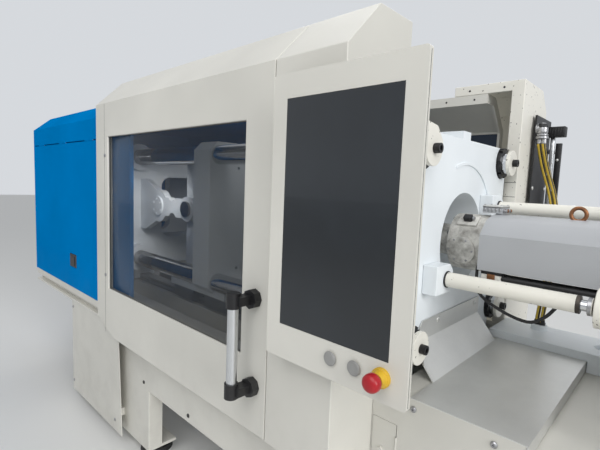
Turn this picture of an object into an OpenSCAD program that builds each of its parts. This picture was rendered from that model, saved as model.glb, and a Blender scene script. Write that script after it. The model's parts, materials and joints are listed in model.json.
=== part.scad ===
// Injection moulding machine with a two-platen clamp, guards, operator panel and injection unit.
// X runs along the machine towards the injection side, -Y is the operator side, Z is up.
// The origin is on the floor under the middle of the machine.

/* [Overall] */
// Height of the barrel axis and of the middle of the platens above the floor
axis_z = 1215; // [1150:5:1300]
// Left end of the machine, at the clamp housing
machine_x0 = -2700; // [-2900:10:-2650]
// Right end of the machine, at the injection bed
machine_x1 = 2700; // [2600:10:2900]
// Diametral clearance of every running fit
running_fit = 0.12; // [0.06:0.02:0.2]

/* [Platens and tie bars] */
// Width of each platen across the machine
platen_w = 820; // [800:5:840]
// Height of each platen
platen_h = 726; // [710:2:750]
// Thickness of the fixed platen
fixed_platen_t = 270; // [240:5:285]
// Injection face of the fixed platen
fixed_platen_x = 160; // [150:1:170]
// From the axis of a tie bar to the side of the platens
tie_side = 52.5; // [50:0.5:60]
// From the axis of a tie bar to the top or the bottom of the platens
tie_top = 60.5; // [55:0.5:68]
// Tie bar diameter
tie_d = 90; // [80:1:96]
// Radius of the nozzle opening at the injection face
nozzle_open_r = 175; // [150:1:190]
// Radius of the locating ring bore at the mould face
locating_r = 80; // [62.5:0.5:100]
// Radius of the raised bead around the nozzle opening
bead_r = 279; // [260:1:285]
// Mould face of the moving platen in the pictured position
moving_face_x = -850; // [-900:5:-800]
// Thickness of the moving platen's mould plate
moving_plate_t = 135; // [110:1:150]
// Spacing of the mould fixing holes
mould_hole_pitch = 280; // [240:10:320]
// Diameter of the mould fixing holes
mould_hole_d = 16; // [12:1:20]

/* [Guards] */
// Distance of the front guard plane from the machine's middle
guard_y = 674; // [660:1:690]
// Thickness of the folded guard panels
skin_t = 25; // [18:1:26]
// Bottom edge of the operator door
door_z0 = 589; // [560:1:600]
// Crease where the guard turns into the sloped roof
crease_z = 1752; // [1720:1:1780]
// Height and depth of the sloped roof strip
roof_slope = 135; // [110:1:150]
// Width of the flat roof strip behind the ridge
roof_flat = 171; // [140:1:185]
// Left edge of the operator door
door_x0 = -1478; // [-1500:1:-1460]
// Length of the operator door
door_l = 1333; // [1300:1:1340]
// Window length
window_l = 1064; // [900:1:1080]
// Window height
window_h = 756; // [600:1:780]
// Height of the window's lower edge
window_z0 = 834; // [820:1:860]
// Thickness of the window pane
pane_t = 6; // [4:0.5:8]
// Right end of the fixed guard beside the door
cover_x1 = 115; // [100:1:120]
// Depth of the clamp housing behind the door plane
housing_step = 30; // [28:1:40]
// Bottom edge of the clamp housing
housing_z0 = 712; // [700:1:730]
// Seam between the clamp housing's roof and its side panel
housing_seam_z = 1590; // [1560:1:1620]
// Crease of the clamp housing
housing_crease_z = 1700; // [1680:1:1710]

/* [Operator panel] */
// Width of the operator panel
panel_w = 440; // [400:1:460]
// Height of the operator panel
panel_h = 755; // [700:1:780]
// Thickness of the panel's edge
panel_t = 15; // [12:1:20]
// Distance of the panel's face from the guard plane
panel_reach = 70; // [60:1:80]
// Left edge of the panel
panel_x0 = -69; // [-80:1:-60]
// Bottom edge of the panel
panel_z0 = 925; // [900:1:940]
// Width of the display glass
glass_w = 341; // [300:1:350]
// Height of the display glass
glass_h = 596; // [520:1:600]
// Diameter of the round push buttons
button_d = 36; // [30:1:40]
// Diameter of the emergency stop head
estop_d = 42; // [38:1:44]
// Travel of the emergency stop head
estop_travel = 5; // [3:0.5:6]

/* [Bed] */
// Distance of the clamp bed's side beams from the middle
bed_y = 600; // [590:1:610]
// Bottom edge of the side beams over the parts opening
beam_z0 = 370; // [340:5:400]
// Top of the clamp bed
bed_top = 760; // [740:1:765]
// Half depth of the injection bed
inj_bed_y = 463; // [450:1:470]
// Top of the injection bed under the tray
inj_bed_top = 805; // [790:1:815]
// Right edge of the tray's flat part
tray_x1 = 543; // [520:1:580]
// Fold at the foot of the tray's sloped part
tray_fold_x = 238; // [230:1:250]
// Height of the tray's sloped part at the platen
tray_rise_z = 904; // [890:1:915]
// Height of the tray's upstand
tray_upstand = 66; // [50:1:80]
// Sheet thickness of the tray
tray_t = 3; // [2:0.5:4]
// Diameter of the levelling feet
foot_d = 160; // [120:5:180]
// Height of the levelling feet
foot_h = 60; // [50:1:70]

/* [Injection unit] */
// Diameter of the screw
screw_d = 55; // [45:1:60]
// Outer diameter of the barrel
barrel_d = 130; // [120:1:140]
// Left end of the barrel guard
guard_x0 = 279; // [270:1:300]
// Length of the barrel guard
guard_l = 1040; // [900:10:1050]
// Half width of the barrel guard
guard_half = 153; // [140:1:160]
// Distance of the carriage rods from the barrel axis, across
rod_dy = 218; // [205:1:230]
// Height of the barrel axis over the front carriage rod
rod_dz = 105; // [85:1:115]
// Height of the rear carriage rod over the barrel axis
rod_rear_dz = 121; // [110:1:130]
// Diameter of the rod sleeves
sleeve_d = 48; // [44:1:52]
// Diameter of the carriage cylinders
cylinder_d = 105; // [95:1:110]
// Left end of the carriage cylinders
cylinder_x0 = 611; // [595:1:640]
// Stroke of the injection carriage
carriage_stroke = 350; // [200:10:350]
// Stroke of the injection screw
screw_stroke = 180; // [120:10:190]

/* [Hidden] */

$fn = 64;
white = [0.89, 0.9, 0.89];
cream = [0.92, 0.91, 0.84];
guard_grey = [0.84, 0.83, 0.8];
housing_blue = [0.0, 0.42, 0.72];
steel = [0.7, 0.71, 0.72];
black = [0.08, 0.08, 0.09];

seat = 0.3;
tan_half = tan(22.5);
mid = axis_z;
door_x1 = door_x0 + door_l;
cover_x0 = door_x1 + 3;
roof_z = crease_z + roof_slope;
roof_y = guard_y - roof_slope - roof_flat;
tie_dy = platen_w - 2 * tie_side;
tie_dz = platen_h - 2 * tie_top;
platen_z0 = mid - platen_h / 2;
platen_z1 = mid + platen_h / 2;
fixed_x0 = fixed_platen_x - fixed_platen_t;
moving_back_x = moving_face_x - moving_plate_t;
housing_y = guard_y - housing_step;
housing_x1 = -1160;
panel_y = guard_y + panel_reach;
glass_x0 = panel_x0 + 50;
glass_z0 = panel_z0 + 95;
button_z = panel_z0 + 55;
button_xs = [panel_x0 + 233, panel_x0 + 304];
estop_x = panel_x0 + 377;
rail_top = bed_top + 40;
slot_z0 = 640;
slot_z1 = 675;
rail_lip = 13;
inj_front_t = 3;
inj_bed_low = 765;
inj_bed_x0 = -50;
flap_x0 = 120;
flap_x1 = 200;
flap_z0 = 380;
flap_z1 = 707;

// Box between two corners.
module block(lo, hi) {
    translate(lo)
        cube([hi[0] - lo[0], hi[1] - lo[1], hi[2] - lo[2]]);
}

// Box of the outer faces with one like it on the other side of the machine's middle plane.
module block_pair(lo, hi) {
    block(lo, hi);
    mirror([0, 1, 0])
        block(lo, hi);
}

// Rod along X.
module rod_x(x0, x1, y, z, d) {
    translate([x0, y, z])
        rotate([0, 90, 0])
            cylinder(h = x1 - x0, d = d);
}

// Rod along Y.
module rod_y(y0, y1, x, z, d) {
    translate([x, y1, z])
        rotate([90, 0, 0])
            cylinder(h = y1 - y0, d = d);
}

// Rod along Z.
module rod_z(z0, z1, x, y, d) {
    translate([x, y, z0])
        cylinder(h = z1 - z0, d = d);
}

// Extrudes a [y, z] outline along X.
module along_x(x0, x1) {
    translate([x0, 0, 0])
        rotate([90, 0, 90])
            linear_extrude(x1 - x0)
                children();
}

// Extrudes an [x, z] outline along Y.
module along_y(y0, y1) {
    translate([0, y1, 0])
        rotate([90, 0, 0])
            linear_extrude(y1 - y0)
                children();
}

// Rectangle with rounded corners, made of a plus shape and four discs.
module rounded_rect(x0, y0, w, h, r) {
    translate([x0 + r, y0])
        square([w - 2 * r, h]);
    translate([x0, y0 + r])
        square([w, h - 2 * r]);
    for (cx = [x0 + r, x0 + w - r], cy = [y0 + r, y0 + h - r])
        translate([cx, cy])
            circle(r = r);
}

// Repeats the children at the four tie bars.
module at_tie_bars() {
    for (sy = [-1, 1], sz = [-1, 1])
        translate([0, sy * tie_dy / 2, mid + sz * tie_dz / 2])
            children();
}

function rod_z_at(s) = s < 0 ? mid - rod_dz : mid + rod_rear_dz;

// Repeats the children at the lower front and upper rear carriage rod.
module at_carriage_rods() {
    for (s = [-1, 1])
        translate([0, s * rod_dy, rod_z_at(s)])
            children();
}

// Platen outline with chamfered corners, as [y, z].
module platen_outline(c = 40) {
    polygon([
        [-platen_w / 2 + c, platen_z0], [platen_w / 2 - c, platen_z0],
        [platen_w / 2, platen_z0 + c], [platen_w / 2, platen_z1 - c],
        [platen_w / 2 - c, platen_z1], [-platen_w / 2 + c, platen_z1],
        [-platen_w / 2, platen_z1 - c], [-platen_w / 2, platen_z0 + c]
    ]);
}

module tie_bores(x0, x1, d) {
    at_tie_bars()
        rod_x(x0, x1, 0, 0, d);
}

// Mould fixing holes on an inner and an outer square.
module mould_holes(x0, x1) {
    for (k = [1, 1.75], sy = [-1, 1], sz = [-1, 1])
        rod_x(x0, x1, sy * k * mould_hole_pitch / 2, mid + sz * k * mould_hole_pitch / 2, mould_hole_d);
}

// Bent section of the front guard: upright, 45 degree slope and flat roof strip, as [y, z].
module guard_section(z0) {
    k = skin_t * tan_half;
    polygon([
        [-guard_y, z0], [-guard_y, crease_z], [-guard_y + roof_slope, roof_z], [-roof_y, roof_z],
        [-roof_y, roof_z - skin_t], [-guard_y + roof_slope + k, roof_z - skin_t],
        [-guard_y + skin_t, crease_z - k], [-guard_y + skin_t, z0]
    ]);
}

/* Beds */

leg_x0 = machine_x0 + 710;
leg_x1 = -1050;
drop_x1 = -300;
beam_t = 120;
plate_t = 15;
leg_flange = 73;
cross_z1 = 640;
web_y = bed_y - beam_t;
rail_y = 300;
rail_w = 60;
rail_x0 = leg_x0 - 190;
rail_x1 = fixed_x0 - 20;

// Welded clamp bed: side beams, rail beams, cross members and the leg box with its side opening.
module clamp_bed() {
    outer_y = 400;
    beam_half = 55;
    color(guard_grey)
    union() {
        block_pair([leg_x0, -bed_y, beam_z0], [inj_bed_x0, -web_y, bed_top]);
        block_pair([machine_x0 + 100, -web_y, cross_z1 - 20], [leg_x0 + 90, -outer_y, bed_top]);
        block([machine_x0 + 80, -web_y, cross_z1 - 20], [machine_x0 + 100, web_y, bed_top]);
        block_pair([rail_x0 - 10, -rail_y - beam_half, cross_z1], [drop_x1, -rail_y + beam_half, bed_top]);
        block_pair([rail_x0 - 10, -outer_y, cross_z1], [rail_x0 + 90, -rail_y - beam_half, bed_top]);
        block([leg_x0, -web_y, cross_z1 - 70], [leg_x0 + 90, web_y, cross_z1]);
        block([leg_x1 - 90, -web_y, cross_z1 - 200], [leg_x1, web_y, cross_z1]);
        block([drop_x1, -web_y, foot_h], [inj_bed_x0, web_y, bed_top]);
        block_pair([leg_x0, -bed_y, foot_h], [leg_x1, -bed_y + plate_t, beam_z0]);
        block_pair([leg_x0, -bed_y + plate_t, foot_h], [leg_x1, -bed_y + 150, foot_h + plate_t]);
        for (x = [leg_x0, leg_x1 - 20])
            difference() {
                block([x, -bed_y + plate_t, foot_h], [x + 20, bed_y - plate_t, beam_z0 + 30]);
                translate([x - 1, 0, 0])
                    along_x(0, 22)
                        rounded_rect(-bed_y + leg_flange, foot_h - 60, 2 * (bed_y - leg_flange), 330, 40);
            }
    }
}

niche_y = 200;
louvre_t = 20;

// Injection bed: a closed box with a ledge under the tray, a niche behind the flap and louvres.
module injection_bed() {
    color(guard_grey)
    difference() {
        union() {
            block([inj_bed_x0, -inj_bed_y, foot_h], [machine_x1, inj_bed_y, inj_bed_low]);
            block([inj_bed_x0, -inj_bed_y, inj_bed_low], [tray_x1 - tray_t - 1, inj_bed_y, inj_bed_top]);
        }
        block([flap_x0 - 1.5, -inj_bed_y - 1, flap_z0 - 1.5], [flap_x1 + 8, -inj_bed_y + 21, flap_z1 + 1.5]);
        block([flap_x0 - 20, -inj_bed_y + 20, flap_z0 - 20], [flap_x1 + 60, -niche_y, flap_z1 + 20]);
        block([inj_bed_x0 - 1, -platen_w / 2 - 5, bed_top], [fixed_platen_x + 5, platen_w / 2 + 5, inj_bed_top + 1]);
        for (i = [0:5])
            block([machine_x1 - louvre_t, -300, 300 + 50 * i], [machine_x1 + 1, 300, 320 + 50 * i]);
    }
}

screw_xs = [250, 468, 760, 1250, 1740, 2230, 2620];
screw_z = inj_bed_top - 27;

// Sheet front of the injection bed, with holes for its screws and the flap's hinge knuckles.
module bed_front_panel() {
    x1 = machine_x1 - 5;
    color(guard_grey)
    difference() {
        union() {
            along_y(-inj_bed_y - inj_front_t, -inj_bed_y)
                difference() {
                    polygon([
                        [cover_x1 + 1, 120], [x1, 120], [x1, inj_bed_low], [tray_x1 - tray_t - 1, inj_bed_low],
                        [tray_x1 - tray_t - 1, inj_bed_top], [cover_x1 + 1, inj_bed_top]
                    ]);
                    translate([flap_x0 - 1.5, flap_z0 - 1.5])
                        square([flap_x1 - flap_x0 + 4, flap_z1 - flap_z0 + 3]);
                    for (i = [0:len(screw_xs) - 1])
                        translate([screw_xs[i], i < 2 ? screw_z : screw_z - 60])
                            circle(d = 9);
                }
            for (z = flap_hinge_zs, s = [-1, 1])
                rod_z(z + s * 24.5 - 9, z + s * 24.5 + 9, flap_hinge_x, flap_hinge_y, flap_knuckle_d);
        }
        for (z = flap_hinge_zs) {
            rod_z(z - 15.5, z + 15.5, flap_hinge_x, flap_hinge_y, flap_knuckle_d + 1);
            rod_z(z - 35, z + 35, flap_hinge_x, flap_hinge_y, hinge_pin_d + running_fit);
        }
    }
}

// Button-head screws of the front panel, each with its shank and hexagon socket.
module front_panel_screws() {
    color(steel)
    for (i = [0:len(screw_xs) - 1])
        translate([screw_xs[i], -inj_bed_y - inj_front_t, i < 2 ? screw_z : screw_z - 60])
            rotate([90, 0, 0])
                difference() {
                    union() {
                        cylinder(h = 3, d = 18);
                        translate([0, 0, 3])
                            cylinder(h = 3, d1 = 18, d2 = 11);
                        translate([0, 0, -inj_front_t])
                            cylinder(h = inj_front_t, d = 8);
                    }
                    translate([0, 0, 2])
                        cylinder(h = 5, d = 6, $fn = 6);
                }
}

// Sheet cover over the clamp leg at the operator side, with its fixing blocks.
module leg_cover() {
    top = slot_z0 - rail_lip - 2;
    face_y = -housing_y + 4;
    color(guard_grey)
    union() {
        along_y(face_y, face_y + 3)
            polygon([[leg_x0 + 20, foot_h], [-1262, foot_h], [-1300, door_z0 - 9], [-1300, top], [leg_x0 + 20, top]]);
        for (z = [140, 560], x = [leg_x0 + 60, -1360])
            block([x, face_y + 3, z], [x + 40, -bed_y, z + 40]);
    }
}

foot_spots = [
    [-1880, -500], [-1880, 500], [-1160, -500], [-1160, 500], [-180, -380], [-180, 380],
    [620, -380], [620, 380], [1650, -380], [1650, 380], [2600, -380], [2600, 380]
];

// Levelling feet: a rubber-based pad with a threaded stem collar each.
module levelling_feet() {
    color(black)
    for (p = foot_spots)
        translate([p[0], p[1], 0]) {
            cylinder(h = foot_h - 35, d1 = foot_d, d2 = foot_d - 10);
            translate([0, 0, foot_h - 35])
                cylinder(h = 15, d = foot_d * 0.6);
            translate([0, 0, foot_h - 20])
                cylinder(h = 20, d = 50);
        }
}

tray_rear_y = 245;
tray_front_y = -inj_bed_y - inj_front_t;

// Stainless tray: flat part, sloped part, upstand at the platen and a turned-down right edge.
module drip_tray() {
    up_x = fixed_platen_x + 2;
    color(steel)
    union() {
        along_y(tray_front_y, tray_rear_y)
            polygon([
                [tray_fold_x, inj_bed_top], [tray_x1 - tray_t, inj_bed_top],
                [tray_x1 - tray_t, inj_bed_top - 37], [tray_x1, inj_bed_top - 37],
                [tray_x1, inj_bed_top + tray_t], [tray_fold_x, inj_bed_top + tray_t]
            ]);
        difference() {
            along_y(-330, 210)
                polygon([
                    [tray_fold_x, inj_bed_top], [tray_fold_x + tray_t, inj_bed_top + tray_t],
                    [up_x + tray_t, tray_rise_z], [up_x, tray_rise_z - tray_t * 0.4]
                ]);
            rod_x(up_x - 1, tie_x1 + cap_t + 2, -tie_dy / 2, mid - tie_dz / 2, tie_d + 42);
        }
        along_x(up_x, up_x + tray_t)
            difference() {
                polygon([
                    [-290, tray_rise_z - 2], [210, tray_rise_z - 2], [210, tray_rise_z + tray_upstand],
                    [-272, tray_rise_z + tray_upstand], [-290, tray_rise_z + tray_upstand - 18]
                ]);
                for (y = [-160, 165])
                    translate([y, tray_rise_z + tray_upstand - 18])
                        circle(d = 11);
            }
    }
}

deck_z = inj_bed_top + 33;

// White deck behind the tray: a hollow cover with a cable hole and the hose gland.
module rear_deck() {
    x0 = rear_x1 + 1;
    x1 = tray_x1 + 120;
    color(white)
    difference() {
        union() {
            block([x0, tray_rear_y + 1, inj_bed_top + seat], [x1, inj_bed_y, deck_z]);
            block([tray_x1 + 1, tray_rear_y + 1, inj_bed_low], [x1, inj_bed_y, inj_bed_top + 1]);
            rod_z(deck_z, gland_z, hose_end[0], hose_end[1], 60);
        }
        rod_z(inj_bed_top, deck_z + 1, tray_x1 + 40, 350, 70);
        block([x0 + 20, tray_rear_y + 20, inj_bed_top - 1], [tray_x1 - 40, inj_bed_y - 20, deck_z - 6]);
    }
}

// Narrow service flap beside the fixed cover, with its finger knob and hinge knuckles.
module access_flap() {
    color(guard_grey)
    difference() {
        union() {
            block([flap_x0, -inj_bed_y - inj_front_t, flap_z0], [flap_x1, -inj_bed_y + 5, flap_z1]);
            for (z = flap_hinge_zs)
                rod_z(z - 15, z + 15, flap_hinge_x, flap_hinge_y, flap_knuckle_d);
            rod_y(-inj_bed_y - inj_front_t - 8, -inj_bed_y - inj_front_t, flap_x0 + 32, 612, 16);
        }
        for (z = flap_hinge_zs) {
            for (s = [-1, 1])
                rod_z(z + s * 25 - 10, z + s * 25 + 10, flap_hinge_x, flap_hinge_y, flap_knuckle_d + 1);
            rod_z(z - 16, z + 16, flap_hinge_x, flap_hinge_y, hinge_pin_d + running_fit);
        }
    }
}

// Profiled guide rails of the moving platen, with a waisted section.
module platen_rails() {
    color(steel)
    for (s = [-1, 1])
        along_x(rail_x0, rail_x1)
            translate([s * rail_y, bed_top])
                polygon([
                    [-rail_w / 2, 0], [rail_w / 2, 0], [rail_w / 2, 12], [rail_w / 2 - 8, 20],
                    [rail_w / 2, 28], [rail_w / 2, 40], [-rail_w / 2, 40], [-rail_w / 2, 28],
                    [-rail_w / 2 + 8, 20], [-rail_w / 2, 12]
                ]);
}

/* Clamp */

boss_y = -18;
cap_gap = 32;
nut_t = 44;
locating_depth = 40;

// Fixed platen: conical nozzle opening, locating bore, bead, lifting boss and bolted feet.
module fixed_platen() {
    bead_start = -45;
    bead_h = 5;
    color(white)
    difference() {
        union() {
            along_x(fixed_x0, fixed_platen_x)
                platen_outline();
            block([10, boss_y - 32, platen_z1], [fixed_platen_x, boss_y + 32, platen_z1 + 28]);
            block_pair([fixed_x0 + 10, 270, bed_top], [fixed_platen_x - 20, 400, platen_z0]);
            difference() {
                translate([fixed_platen_x, 0, mid])
                    rotate([0, 90, 0])
                        rotate([0, 0, 90 + bead_start])
                            rotate_extrude(angle = 155)
                                translate([bead_r - 5, -1])
                                    square([10, bead_h + 1]);
                at_carriage_rods()
                    block([fixed_platen_x, -72, -50], [fixed_platen_x + bead_h + 1, 50, 50]);
            }
        }
        rod_x(fixed_x0 - 1, fixed_platen_x, 0, mid, 2 * locating_r);
        translate([fixed_x0 + locating_depth, 0, mid])
            rotate([0, 90, 0])
                cylinder(h = fixed_platen_x - fixed_x0 - locating_depth + 1, r1 = locating_r + 8, r2 = nozzle_open_r);
        tie_bores(fixed_x0 - 1, fixed_platen_x + 1, tie_d + running_fit);
        tie_bores(fixed_platen_x - 30, fixed_platen_x + 1, tie_d + 42);
        mould_holes(fixed_x0 - 1, fixed_x0 + 45);
        rod_z(platen_z1 - 20, platen_z1 + 29, 100, boss_y, 24);
    }
}

tie_x0 = -2420;
tie_x1 = fixed_platen_x + cap_gap;
tie_neck_d = tie_d - 20;
tie_shoulder_x = tie_x0 + 35;
groove_pitch = 18;
groove_w = 10;
groove_depth = 6;
groove_x0 = -1960;
groove_count = 30;

// Four tie bars, each with a row of locking grooves and a neck in the support frame.
module tie_bars() {
    r = tie_d / 2;
    g = r - groove_depth;
    color(steel)
    at_tie_bars()
        rotate([0, 90, 0])
            rotate_extrude()
                polygon(concat(
                    [[0, tie_x0], [tie_neck_d / 2, tie_x0], [tie_neck_d / 2, tie_shoulder_x + seat],
                     [r, tie_shoulder_x + seat]],
                    [for (i = [0:groove_count - 1], p = [[r, 0], [g, 0], [g, groove_w], [r, groove_w]])
                        [p[0], groove_x0 + groove_pitch * i + p[1]]],
                    [[r, tie_x1], [0, tie_x1]]
                ));
}

// Round nuts that hold the tie bars in the fixed platen's counterbores.
module tie_bar_nuts() {
    color(black)
    at_tie_bars()
        difference() {
            rod_x(fixed_platen_x - 30, fixed_platen_x - 30 + nut_t, 0, 0, tie_d + 34);
            rod_x(fixed_platen_x - 31, fixed_platen_x + nut_t, 0, 0, tie_d + running_fit);
            for (a = [0:45:315])
                rotate([a, 0, 0])
                    block([fixed_platen_x, tie_d / 2 + 10, -6], [fixed_platen_x + nut_t, tie_d, 6]);
        }
}

cap_t = 14;
cap_d = 104;
cap_bolt_d = 30;
cap_bolt_bore = 21;

// End plates of the tie bars: three discs, and one drawn out upwards with chamfered corners.
module tie_bar_caps() {
    color(cream)
    for (p = [[-1, -1], [1, -1], [1, 1], [-1, 1]])
        translate([0, p[0] * tie_dy / 2, mid + p[1] * tie_dz / 2])
            along_x(tie_x1, tie_x1 + cap_t)
                difference() {
                    union() {
                        circle(d = cap_d);
                        if (p == [-1, 1])
                            polygon([[-cap_d / 2, 0], [cap_d / 2, 0], [cap_d / 2, 26], [12, 66],
                                     [-cap_d / 2, 74]]);
                    }
                    circle(d = cap_bolt_bore);
                }
}

// Socket head bolts of the four end plates.
module cap_bolts() {
    color(black)
    at_tie_bars()
        difference() {
            union() {
                rod_x(tie_x1 + cap_t, tie_x1 + cap_t + 20, 0, 0, cap_bolt_d);
                rod_x(tie_x1, tie_x1 + cap_t, 0, 0, 20);
            }
            translate([tie_x1 + cap_t + 8, 0, 0])
                rotate([0, 90, 0])
                    cylinder(h = 13, d = 17, $fn = 6);
        }
}

// Frame that carries the free ends of the tie bars over the clamp bed.
module tie_bar_support() {
    x0 = tie_x0 - 40;
    color(white)
    difference() {
        union() {
            along_x(x0, tie_shoulder_x)
                platen_outline();
            block_pair([x0, -web_y, bed_top], [tie_shoulder_x, -300, platen_z0]);
        }
        tie_bores(tie_x0 - 1, tie_shoulder_x + 1, tie_neck_d + running_fit);
        along_x(x0 - 1, tie_shoulder_x + 1)
            rounded_rect(-tie_dy / 2 + 110, mid - 230, tie_dy - 220, 460, 60);
    }
}

bracket_t = 50;
gland_l = 17;
sleeve_x1 = cylinder_x0 - 2 * gland_l;

// Cast brackets on the fixed platen that hold the carriage rods.
module rod_brackets() {
    color(white)
    at_carriage_rods()
        difference() {
            along_x(fixed_platen_x, fixed_platen_x + bracket_t)
                polygon([[-70, -48], [36, -48], [48, -30], [48, 26], [24, 48], [-70, 48]]);
            rod_x(fixed_platen_x + 5, fixed_platen_x + bracket_t + 1, 0, 0, 30 + running_fit);
        }
}

// Painted spacer sleeves on the carriage rods.
module rod_sleeves() {
    color(cream)
    at_carriage_rods()
        difference() {
            rod_x(fixed_platen_x + bracket_t, sleeve_x1, 0, 0, sleeve_d);
            rod_x(fixed_platen_x + bracket_t - 1, sleeve_x1 + 1, 0, 0, 30 + running_fit);
        }
}

rod_end_x = cylinder_x0 + 60 + carriage_stroke;

// Carriage rods: fixed to the brackets, with a piston inside each cylinder.
module carriage_rods() {
    color(steel)
    at_carriage_rods() {
        rod_x(fixed_platen_x + 5, rod_end_x, 0, 0, 30);
        rod_x(rod_end_x, rod_end_x + 50, 0, 0, 79.8);
    }
}

traverse_z = 690;
traverse_x0 = -2470;
traverse_x1 = -1620;

// Cylinder under the clamp that traverses the moving platen, on a foot across the bed.
module traverse_cylinder() {
    color(steel)
    difference() {
        union() {
            rod_x(traverse_x0, traverse_x1, 0, traverse_z, 90);
            block([leg_x0 + 5, -90, cross_z1], [leg_x0 + 75, 90, traverse_z + 50]);
        }
        rod_x(traverse_x0 + 20, traverse_x1 - 20, 0, traverse_z, 70);
        rod_x(traverse_x1 - 21, traverse_x1 + 1, 0, traverse_z, 45 + running_fit);
    }
}

upright_x0 = -1240;
upright_x1 = -1130;
yoke_z = mid + 25;
pin_x = -1184;
pin_d = 60;

// Moving platen: mould plate on flared feet, side ribs and two uprights for the yoke pins.
module moving_platen() {
    rib_y0 = 232;
    rib_y1 = 290;
    color(white)
    difference() {
        union() {
            along_x(moving_back_x, moving_face_x)
                platen_outline();
            block_pair([upright_x0, rib_y0, 940], [upright_x1, rib_y1, 1480]);
            for (z = [980, yoke_z - 40, 1390])
                block_pair([upright_x1, rib_y0, z], [moving_back_x, rib_y1, z + 80]);
            block([upright_x0, -rib_y0, mid - 70], [upright_x0 + 40, rib_y0, mid + 70]);
            for (s = [-1, 1])
                along_y(s * rail_y - 80, s * rail_y + 80)
                    difference() {
                        polygon([
                            [upright_x0, rail_top + 42], [moving_face_x + 85, rail_top + 42],
                            [moving_face_x + 85, platen_z0 + 20], [moving_face_x, platen_z0 + 110],
                            [moving_back_x, platen_z0 + 110], [upright_x0, platen_z0 + 60]
                        ]);
                        translate([moving_face_x + 95, platen_z0 + 115])
                            circle(r = 95);
                    }
            block([upright_x0 - 40, -60, traverse_z - 40], [upright_x0, 60, rail_top + 60]);
            block([upright_x0, -rail_y + 80, rail_top + 42], [upright_x0 + 60, rail_y - 80, rail_top + 60]);
            block([upright_x0 - 40, -60, rail_top + 42], [upright_x0 + 20, 60, rail_top + 60]);
        }
        tie_bores(upright_x0 - 41, moving_face_x + 100, tie_d + running_fit);
        mould_holes(moving_face_x - 45, moving_face_x + 1);
        rod_x(moving_back_x - 1, moving_face_x + 1, 0, mid, 60);
        for (sy = [-1, 1], sz = [-1, 1])
            rod_x(moving_back_x - 1, moving_face_x + 1, sy * 100, mid + sz * 90, 32);
        for (s = [-1, 1])
            rod_y(s * 265 - 40, s * 265 + 40, pin_x, yoke_z, pin_d + running_fit);
        rod_x(upright_x0 - 1, upright_x0 + 41, 0, mid, 100 + running_fit);
        rod_x(upright_x0 - 41, upright_x0 + 1, 0, traverse_z, 30);
    }
}

// Guide shoes under the moving platen.
module guide_shoes() {
    color(steel)
    for (s = [-1, 1], x = [upright_x0 + 10, moving_face_x - 100])
        difference() {
            block([x, s * rail_y - 62, bed_top + 14], [x + 180, s * rail_y + 62, rail_top + 42]);
            block([x - 1, s * rail_y - rail_w / 2 - 0.5, bed_top + 13],
                  [x + 181, s * rail_y + rail_w / 2 + 0.5, rail_top + seat]);
        }
}

yoke_x = -1482;
yoke_y0 = 292;
yoke_t = 36;
clamp_block_x1 = -1706;

// Fish-tail yoke plates that tie the clamp block to the pins of the moving platen.
module side_yokes() {
    y1 = -yoke_y0;
    y0 = y1 - yoke_t;
    color(white)
    for (s = [-1, 1])
        mirror([0, s < 0 ? 0 : 1, 0])
            translate([0, 0, yoke_z])
                difference() {
                    union() {
                        along_y(y0, y1)
                            difference() {
                                union() {
                                    polygon([
                                        [clamp_block_x1, -150], [-1640, -150], [-1420, -52], [pin_x, -52],
                                        [pin_x, 52], [-1420, 52], [-1640, 150], [clamp_block_x1, 150]
                                    ]);
                                    translate([yoke_x, 0])
                                        circle(r = 92);
                                    translate([pin_x, 0])
                                        circle(r = 66);
                                }
                                for (z = [-78, 78])
                                    translate([-1330, z])
                                        circle(r = 46);
                            }
                        rod_y(y0 - 10, y0, yoke_x, 0, 112);
                    }
                    rod_y(y0 - 1, y1 + 1, pin_x, 0, pin_d + running_fit);
                    for (a = [30:60:330])
                        rod_y(y0 - 11, y0 - 4, yoke_x + 42 * cos(a), 42 * sin(a), 12);
                }
}

// Yoke pins with their round cover heads.
module yoke_pins() {
    color(steel)
    for (s = [-1, 1])
        mirror([0, s < 0 ? 0 : 1, 0]) {
            rod_y(-yoke_y0 - yoke_t, -233, pin_x, yoke_z, pin_d);
            rod_y(-yoke_y0 - yoke_t - 12, -yoke_y0 - yoke_t, pin_x, yoke_z, pin_d + 24);
        }
}

clamp_block_x0 = -1880;

// Clamp block with four pressure cylinders around the tie bars and a central window.
module clamp_block() {
    color(white)
    difference() {
        union() {
            along_x(clamp_block_x0, clamp_block_x1)
                platen_outline(70);
            at_tie_bars()
                rod_x(clamp_block_x1, clamp_block_x1 + 60, 0, 0, 96 + 60);
            block_pair([clamp_block_x0, rail_y - 80, rail_top + 42], [clamp_block_x1, rail_y + 80, platen_z0]);
        }
        tie_bores(clamp_block_x0 - 1, clamp_block_x1 + 61, tie_d + running_fit);
        along_x(clamp_block_x0 - 1, clamp_block_x1 + 1)
            rounded_rect(-190, mid - 190, 380, 380, 60);
    }
    color(steel)
    for (s = [-1, 1])
        difference() {
            block([clamp_block_x0, s * rail_y - 62, bed_top + 14], [clamp_block_x1, s * rail_y + 62, rail_top + 42]);
            block([clamp_block_x0 - 1, s * rail_y - rail_w / 2 - 0.5, bed_top + 13],
                  [clamp_block_x1 + 1, s * rail_y + rail_w / 2 + 0.5, rail_top + seat]);
        }
}

lock_t = 70;
lock_travel = 25;
tooth_gap = 0.7;

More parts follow.
